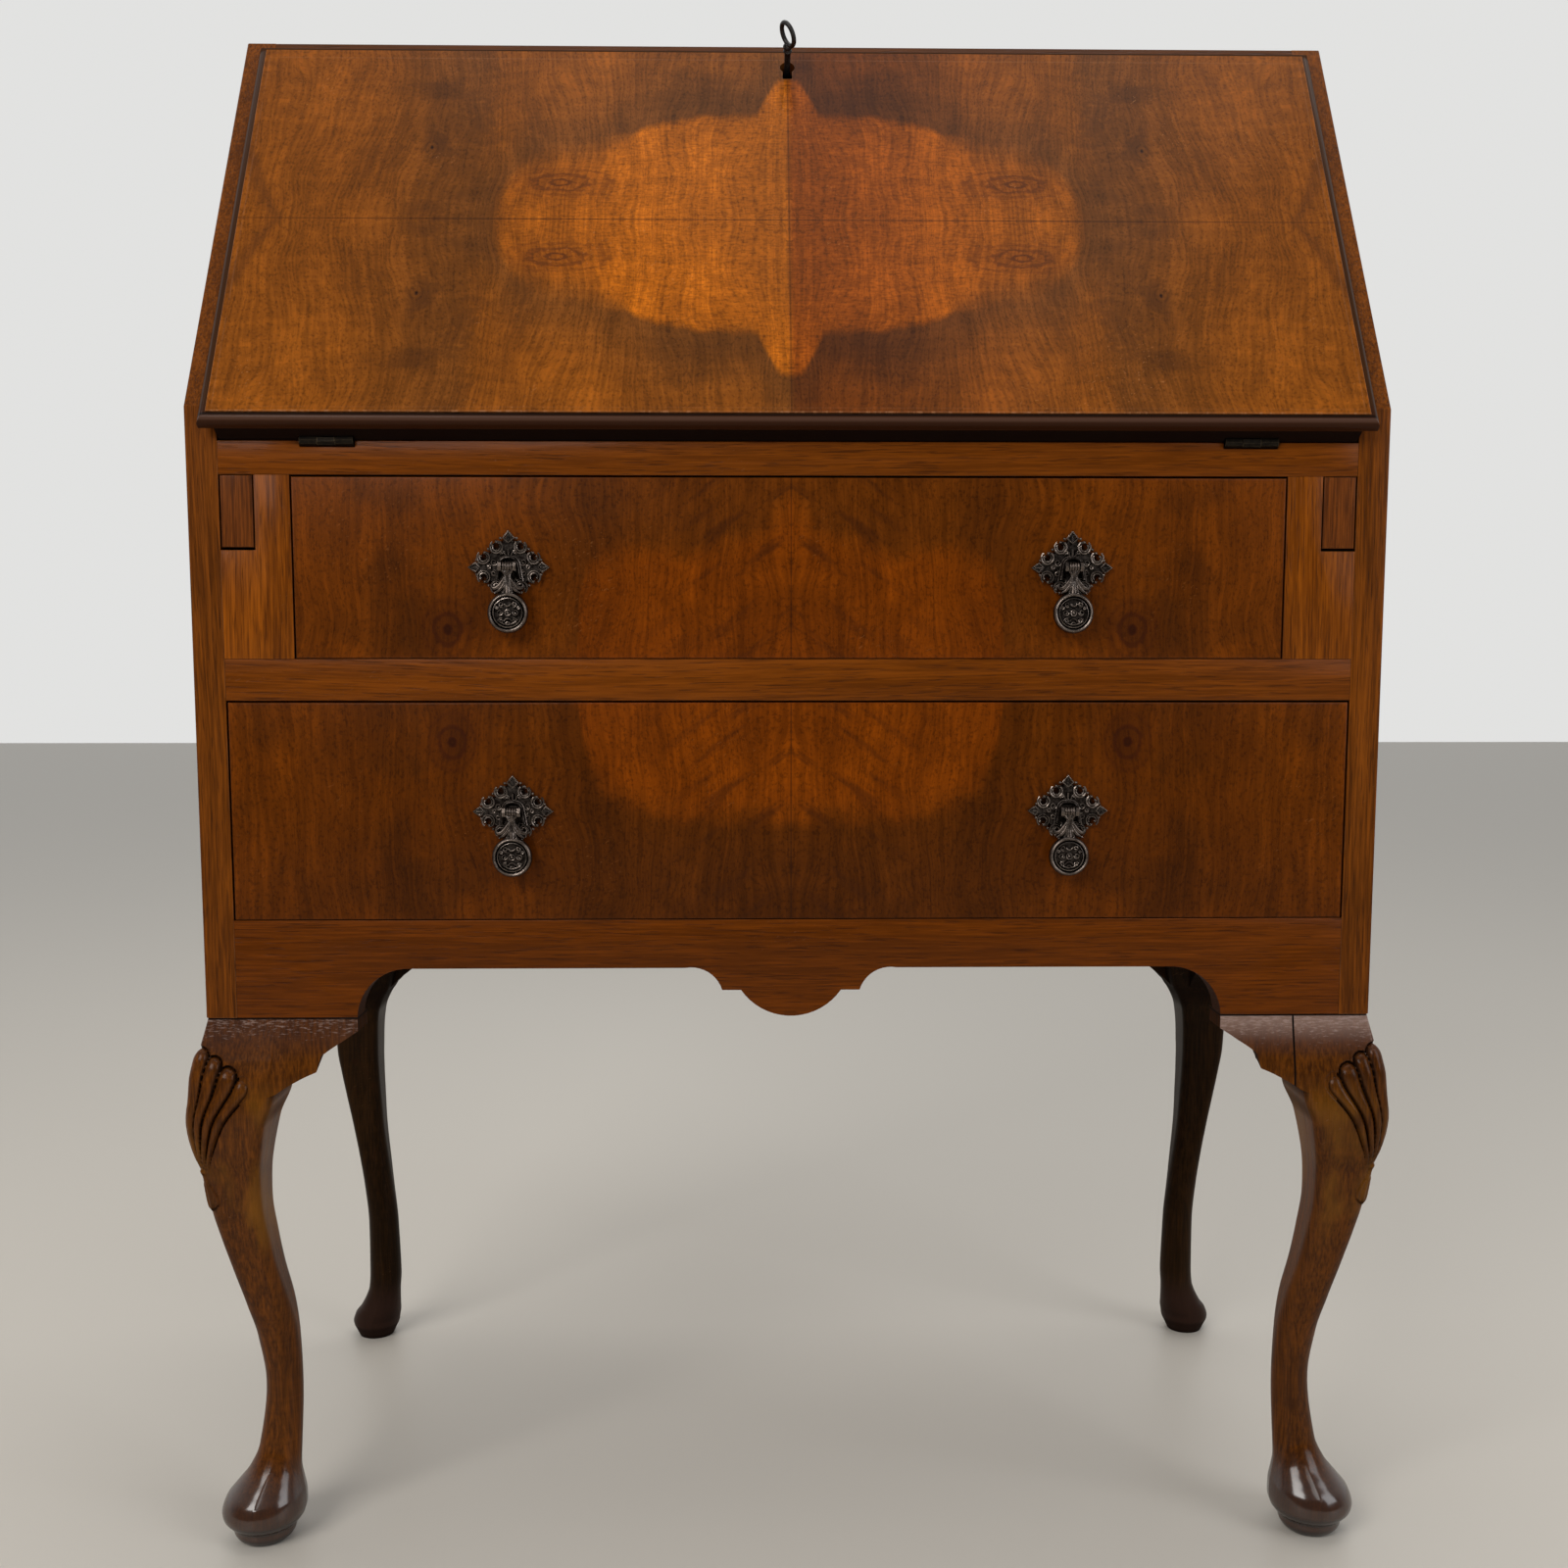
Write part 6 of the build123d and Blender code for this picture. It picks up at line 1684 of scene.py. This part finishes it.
def add_backplates(level):
    name = f"{level}_pull_plates"
    low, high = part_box(name)
    height = (low.z + high.z) / 2
    offset = high.x - PLATE_HALF
    mesh = bmesh.new()
    mesh.from_mesh(nodes[name].data)
    trim_to_lozenge(mesh, offset, height)
    for side in (-1, 1):
        def at(u, v, w, side=side):
            return Vector((side * offset + u * MM, front - w * MM, height + v * MM))

        def lay(points, radius, w, closed=False, sides=7):
            wire(mesh, [at(u, v, w) for u, v in points], radius * MM, sides, closed)

        for across in (-1, 1):
            for up in (-1, 1):
                for u, v in RING_PLACES:
                    centre = (across * u, up * v)
                    opening = 90 * up
                    lay(arc(centre, 3.9, opening + 40, opening + 320, 20), 0.62, PLATE_FACE + 0.5)
                    lay(arc(centre, 2.5, opening + 60, opening + 300, 16), 0.5, PLATE_FACE + 0.4)
                for share in BEAD_SHARES:
                    u, v = across * 25.4 * share, up * 22.7 * (1 - share)
                    turned(mesh, [(0, 1.0 * MM), (0.5 * MM, 0.9 * MM), (0.9 * MM, 0.5 * MM), (1.1 * MM, 0)],
                           at(u, v, PLATE_FACE - 0.2), Vector((0, -1, 0)), 8)
            for u, v, radius, start in CURLS:
                path = curl((u, v), radius, start, 1.25)
                lay(mirrored(path, across), 0.48, PLATE_FACE + 0.35)
            lay(mirrored(TIP_FRAMES[1], across), 0.7, PLATE_FACE, True)
            lay([(across * 19.6, 0), (across * 23.6, 0)], 0.45, PLATE_FACE)
            lay([(across * 1.0, 6.6), (across * 2.2, 8.2), (across * 2.4, 9.8)], 0.6, PLATE_FACE + 0.9)
        for up in (-1, 1):
            lay(mirrored(TIP_FRAMES[0], 1, up), 0.75, PLATE_FACE, True)
            lay([(0, up * 17.0), (0, up * 20.4)], 0.5, PLATE_FACE)
        lay([(0, 6.6), (0, 8.8), (0, 11.6)], 0.65, PLATE_FACE + 1.0)
        half_arch = curved([(u, v, 0) for u, v in ARCH])
        arch = [(point.x, point.y) for point in half_arch]
        arch += [(-u, v) for u, v in reversed(arch[:-1])]
        lay(arch, 1.05, PLATE_FACE + 2.2, sides=9)
        lay([(u * 1.24, v * 1.16) for u, v in arch], 0.6, PLATE_FACE + 0.9)
    add_piece(f"{name}_cast", mesh, f"{level}_drawer", bronze, [name], smooth=45)


add_backplates("upper")
add_backplates("lower")

# %% [markdown]
# ## Drops
# The drop hangs from a ribbed barrel on the pivot pin. Below it a fluted neck runs into two
# leaves that curl outwards, and then the round medallion with its double rim and small scrolls.

# %% Drops
PIVOT_OUT = 9.0
MEDALLION_BELOW = 28.8
# Medallion's profile from the back to the front: distance out, radius
MEDALLION_PROFILE = (
    (-2.4, 0.0), (-2.6, 9.0), (-2.2, 11.6), (-1.0, 12.7), (0.4, 12.9), (1.8, 12.6), (2.8, 12.0), (3.1, 11.3),
    (2.8, 10.7), (1.7, 10.4), (1.3, 10.1), (1.5, 9.7), (2.2, 9.4),
    (2.3, 9.0), (1.3, 8.7), (0.8, 8.4), (0.9, 5.0), (1.1, 0.0),
)
BARREL_PROFILE = (
    (-3.3, 0.0), (-3.3, 2.6), (-3.0, 3.0), (-2.5, 3.2), (-2.0, 3.0),
    (-1.7, 2.6), (-1.4, 3.0), (-0.85, 3.2), (-0.3, 3.0),
    (0.0, 2.6), (0.3, 3.0), (0.85, 3.2), (1.4, 3.0), (1.7, 2.6),
    (2.0, 3.0), (2.5, 3.2), (3.0, 3.0), (3.3, 2.6), (3.3, 0.0),
)
LEAVES = (
    (
        ((1.3, -6.0), (3.2, -9.2), (6.2, -12.8), (8.9, -13.4), (10.0, -11.6), (8.9, -10.4)),
        (0.7, 1.3, 1.6, 1.3, 0.8, 0.5),
    ),
    (((1.0, -7.4), (2.4, -11.2), (5.0, -14.6), (8.0, -16.4)), (0.7, 1.3, 1.4, 0.7)),
    (((0.8, -9.0), (1.6, -13.0), (3.0, -16.6)), (0.8, 1.3, 0.8)),
)
SCROLLS = (
    (4.9, 0.2, 2.0, 180, 1.3), (4.0, 5.2, 1.7, 250, 1.2), (4.2, -4.9, 1.7, 110, -1.2),
    (6.9, 2.9, 1.1, 0, 1.1),
)


def add_drop(level, side_name):
    name = f"{level}_pull_drop_{side_name}"
    low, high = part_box(name)
    middle = (low.x + high.x) / 2
    height = high.z - 3.2 * MM

    def at(u, v, w):
        return Vector((middle + u * MM, front - (PIVOT_OUT + w) * MM, height + v * MM))

    mesh = bmesh.new()

    def lay(points, radius, w, closed=False, sides=7):
        radii = [value * MM for value in radius] if isinstance(radius, (list, tuple)) else radius * MM
        wire(mesh, [at(u, v, w) for u, v in points], radii, sides, closed)

    barrel = [(along * MM, radius * MM) for along, radius in BARREL_PROFILE]
    turned(mesh, barrel, at(0, 0, 0), Vector((1, 0, 0)), 24)
    spine = [(0, -1.5), (0, -4.5), (0, -7), (0, -10), (0, -13), (0, -16.4)]
    lay(spine, [2.0, 1.9, 1.5, 1.4, 1.9, 2.4], 0, sides=12)
    for across in (-1, 1):
        rib = [(across * 1.9, -2.2), (across * 1.5, -6), (across * 1.3, -9.5), (across * 1.9, -15)]
        lay(rib, [0.7, 0.8, 0.8, 0.7], 0.9)
        for points, radii in LEAVES:
            path = curved([(u * across, v, 0) for u, v in points])
            steps = (len(path) - 1) / (len(radii) - 1)
            swell = [
                radii[min(int(index / steps), len(radii) - 2)] * (1 - index / steps % 1)
                + radii[min(int(index / steps) + 1, len(radii) - 1)] * (index / steps % 1)
                for index in range(len(path))
            ]
            lay([(point.x, point.y) for point in path], swell, 0.6, sides=9)
    swag = [(-3.5, 0.6), (-3.3, -2.0), (-1.9, -4.2), (0, -5.0), (1.9, -4.2), (3.3, -2.0), (3.5, 0.6)]
    lay(swag, 0.75, 1.4)
    face = [(along * MM, radius * MM) for along, radius in MEDALLION_PROFILE]
    turned(mesh, face, at(0, -MEDALLION_BELOW, 0), Vector((0, -1, 0)), 56)
    for across in (-1, 1):
        for u, v, radius, start, turns in SCROLLS:
            path = curl((u, v), radius, start, turns)
            lay([(x * across, z - MEDALLION_BELOW) for x, z in path], 0.42, 1.7)
    centre = (0, -MEDALLION_BELOW)
    lay(arc(centre, 1.8, 0, 345, 14), 0.42, 1.8, True)
    lay(arc(centre, 0.5, 0, 300, 6), 0.45, 1.9, True)
    lay(arc((0, -MEDALLION_BELOW - 6.2), 2.6, 20, 160, 12), 0.45, 1.7)
    lay(arc((0, -MEDALLION_BELOW - 7.2), 1.4, 10, 170, 8), 0.4, 1.7)
    lay(arc((0, -MEDALLION_BELOW + 6.4), 2.2, 200, 340, 12), 0.45, 1.7)
    lay(arc(centre, 7.4, 215, 325, 20), 0.4, 1.5)
    add_piece(f"{name}_cast", mesh, f"{level}_drop_{side_name}", bronze, [name], smooth=45)


for level in ("upper", "lower"):
    for side_name, side in (("left", -1), ("right", 1)):
        add_drop(level, side_name)

# %% [markdown]
# ## Key
# The key stands in its lock with the bow turned a little. It has a plain ring for a bow, a
# collar where the ring meets the shank, and a bit that reaches into the lock.

# %% Key
KEY_TURN = math.radians(122)
KEY_SHORTENED = 9 * MM
BOW_RADIUS = 7.6 * MM
BOW_WIRE = 1.6 * MM


def add_key():
    foot, tip = reach("key", out_face)
    up = reach("key", up_slope)
    key_up = (joint_place("key_turn") - hinge_at).dot(up_slope)
    collar_top = tip - KEY_SHORTENED - 2 * BOW_RADIUS - 1.6 * MM
    origin = on_fall(0, key_up, 0)
    profile = [
        (foot, 0.0), (foot, 2.0), (collar_top - 9.0 * MM, 2.1),
        (collar_top - 6.4 * MM, 2.2), (collar_top - 6.0 * MM, 2.8),
        (collar_top - 5.2 * MM, 3.0), (collar_top - 4.4 * MM, 2.6),
        (collar_top - 3.6 * MM, 2.4), (collar_top - 2.8 * MM, 3.0),
        (collar_top - 1.6 * MM, 3.2), (collar_top - 0.4 * MM, 2.6),
        (collar_top + 0.8 * MM, 1.8), (collar_top + 1.2 * MM, 0.0),
    ]
    mesh = bmesh.new()
    turned(mesh, [(along, radius * MM) for along, radius in profile], origin, out_face, 24)
    flat = Vector((1, 0, 0)) * math.cos(KEY_TURN) + up_slope * math.sin(KEY_TURN)
    centre = origin + out_face * (collar_top + BOW_RADIUS + 0.4 * MM)
    turns = [2 * math.pi * step / 40 for step in range(40)]
    ring = [centre + (flat * math.cos(turn) + out_face * math.sin(turn)) * BOW_RADIUS for turn in turns]
    wire(mesh, ring, BOW_WIRE, 12, True)
    across = out_face.cross(flat)
    corners = []
    for along in (foot, foot + 1.6 * MM):
        for out, over in ((0, -1.0), (5.3, -1.0), (5.3, 1.0), (0, 1.0)):
            corners.append(mesh.verts.new(origin + out_face * along + flat * out * MM + across * over * MM))
    for index in range(4):
        beside = (index + 1) % 4
        mesh.faces.new((corners[index], corners[beside], corners[4 + beside], corners[4 + index]))
    mesh.faces.new(corners[:4])
    mesh.faces.new(corners[4:])
    add_piece("key_turned", mesh, "key", dark_steel, ["key"], smooth=40)
    return up


def joint_place(name):
    return Vector(joints[name]["pos_m"])


print("key reaches", [round(value, 4) for value in add_key()], "up the fall")

# %% [markdown]
# ## Small drawers inside
# The two small drawers behind the fall have a plain front with softened edges and a turned knob.

# %% Small drawer fronts
SMALL_FRONT = 9 * MM
SMALL_KNOB = (
    (-6.0, 2.9), (0.0, 2.9), (0.3, 4.2), (1.0, 4.4), (1.6, 3.4),
    (2.6, 2.8), (4.0, 3.2), (5.4, 5.2), (6.8, 6.6), (8.0, 7.0),
    (9.2, 6.7), (10.4, 5.6), (11.2, 3.9), (11.7, 2.6), (12.0, 1.6), (12.0, 0.0),
)


def add_small_front(side):
    tray_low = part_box(f"nest_drawer_{side}_tray")[0]
    low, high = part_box(f"nest_drawer_{side}_front")
    mesh = bmesh.new()
    corners = []
    for y in (tray_low.y - SMALL_FRONT, tray_low.y):
        for x, z in ((low.x, low.z), (high.x, low.z), (high.x, high.z), (low.x, high.z)):
            corners.append((x, y, z))
    skin(mesh, [corners[:4], corners[4:]])
    edges = [
        edge for edge in mesh.edges
        if max(vertex.co.y for vertex in edge.verts) < tray_low.y - SMALL_FRONT / 2
    ]
    bmesh.ops.bevel(mesh, geom=edges, offset=1.4 * MM, segments=3, affect="EDGES", profile=0.5)
    centre = Vector(((low.x + high.x) / 2, tray_low.y - SMALL_FRONT, (low.z + high.z) / 2))
    turned(mesh, [(along * MM, radius * MM) for along, radius in SMALL_KNOB], centre, Vector((0, -1, 0)), 32)
    name = f"nest_drawer_{side}_front"
    add_piece(f"{name}_turned", mesh, f"nest_drawer_{side}", nest_oak, [name], smooth=35)


add_small_front("left")
add_small_front("right")

# %% [markdown]
# ## Floor and close
# A plain pale floor takes the shadow.

# %% Add the floor
def add_floor():
    """A plain pale floor, which isn't part of the object and only takes its shadow."""
    mesh = bpy.data.meshes.new("floor")
    far = 12.0
    mesh.from_pydata([(-far, -far, 0), (far, -far, 0), (far, far, 0), (-far, far, 0)], [], [(0, 1, 2, 3)])
    floor = bpy.data.objects.new("floor", mesh)
    bpy.context.scene.collection.objects.link(floor)
    material, w = new_material("pale_floor")
    shader = w.add("ShaderNodeBsdfPrincipled", {"Roughness": 0.45})
    shader.inputs["Base Color"].default_value = (0.60, 0.56, 0.50, 1)
    w.add("ShaderNodeOutputMaterial", {"Surface": shader.outputs[0]})
    mesh.materials.append(material)
    return floor


add_floor()
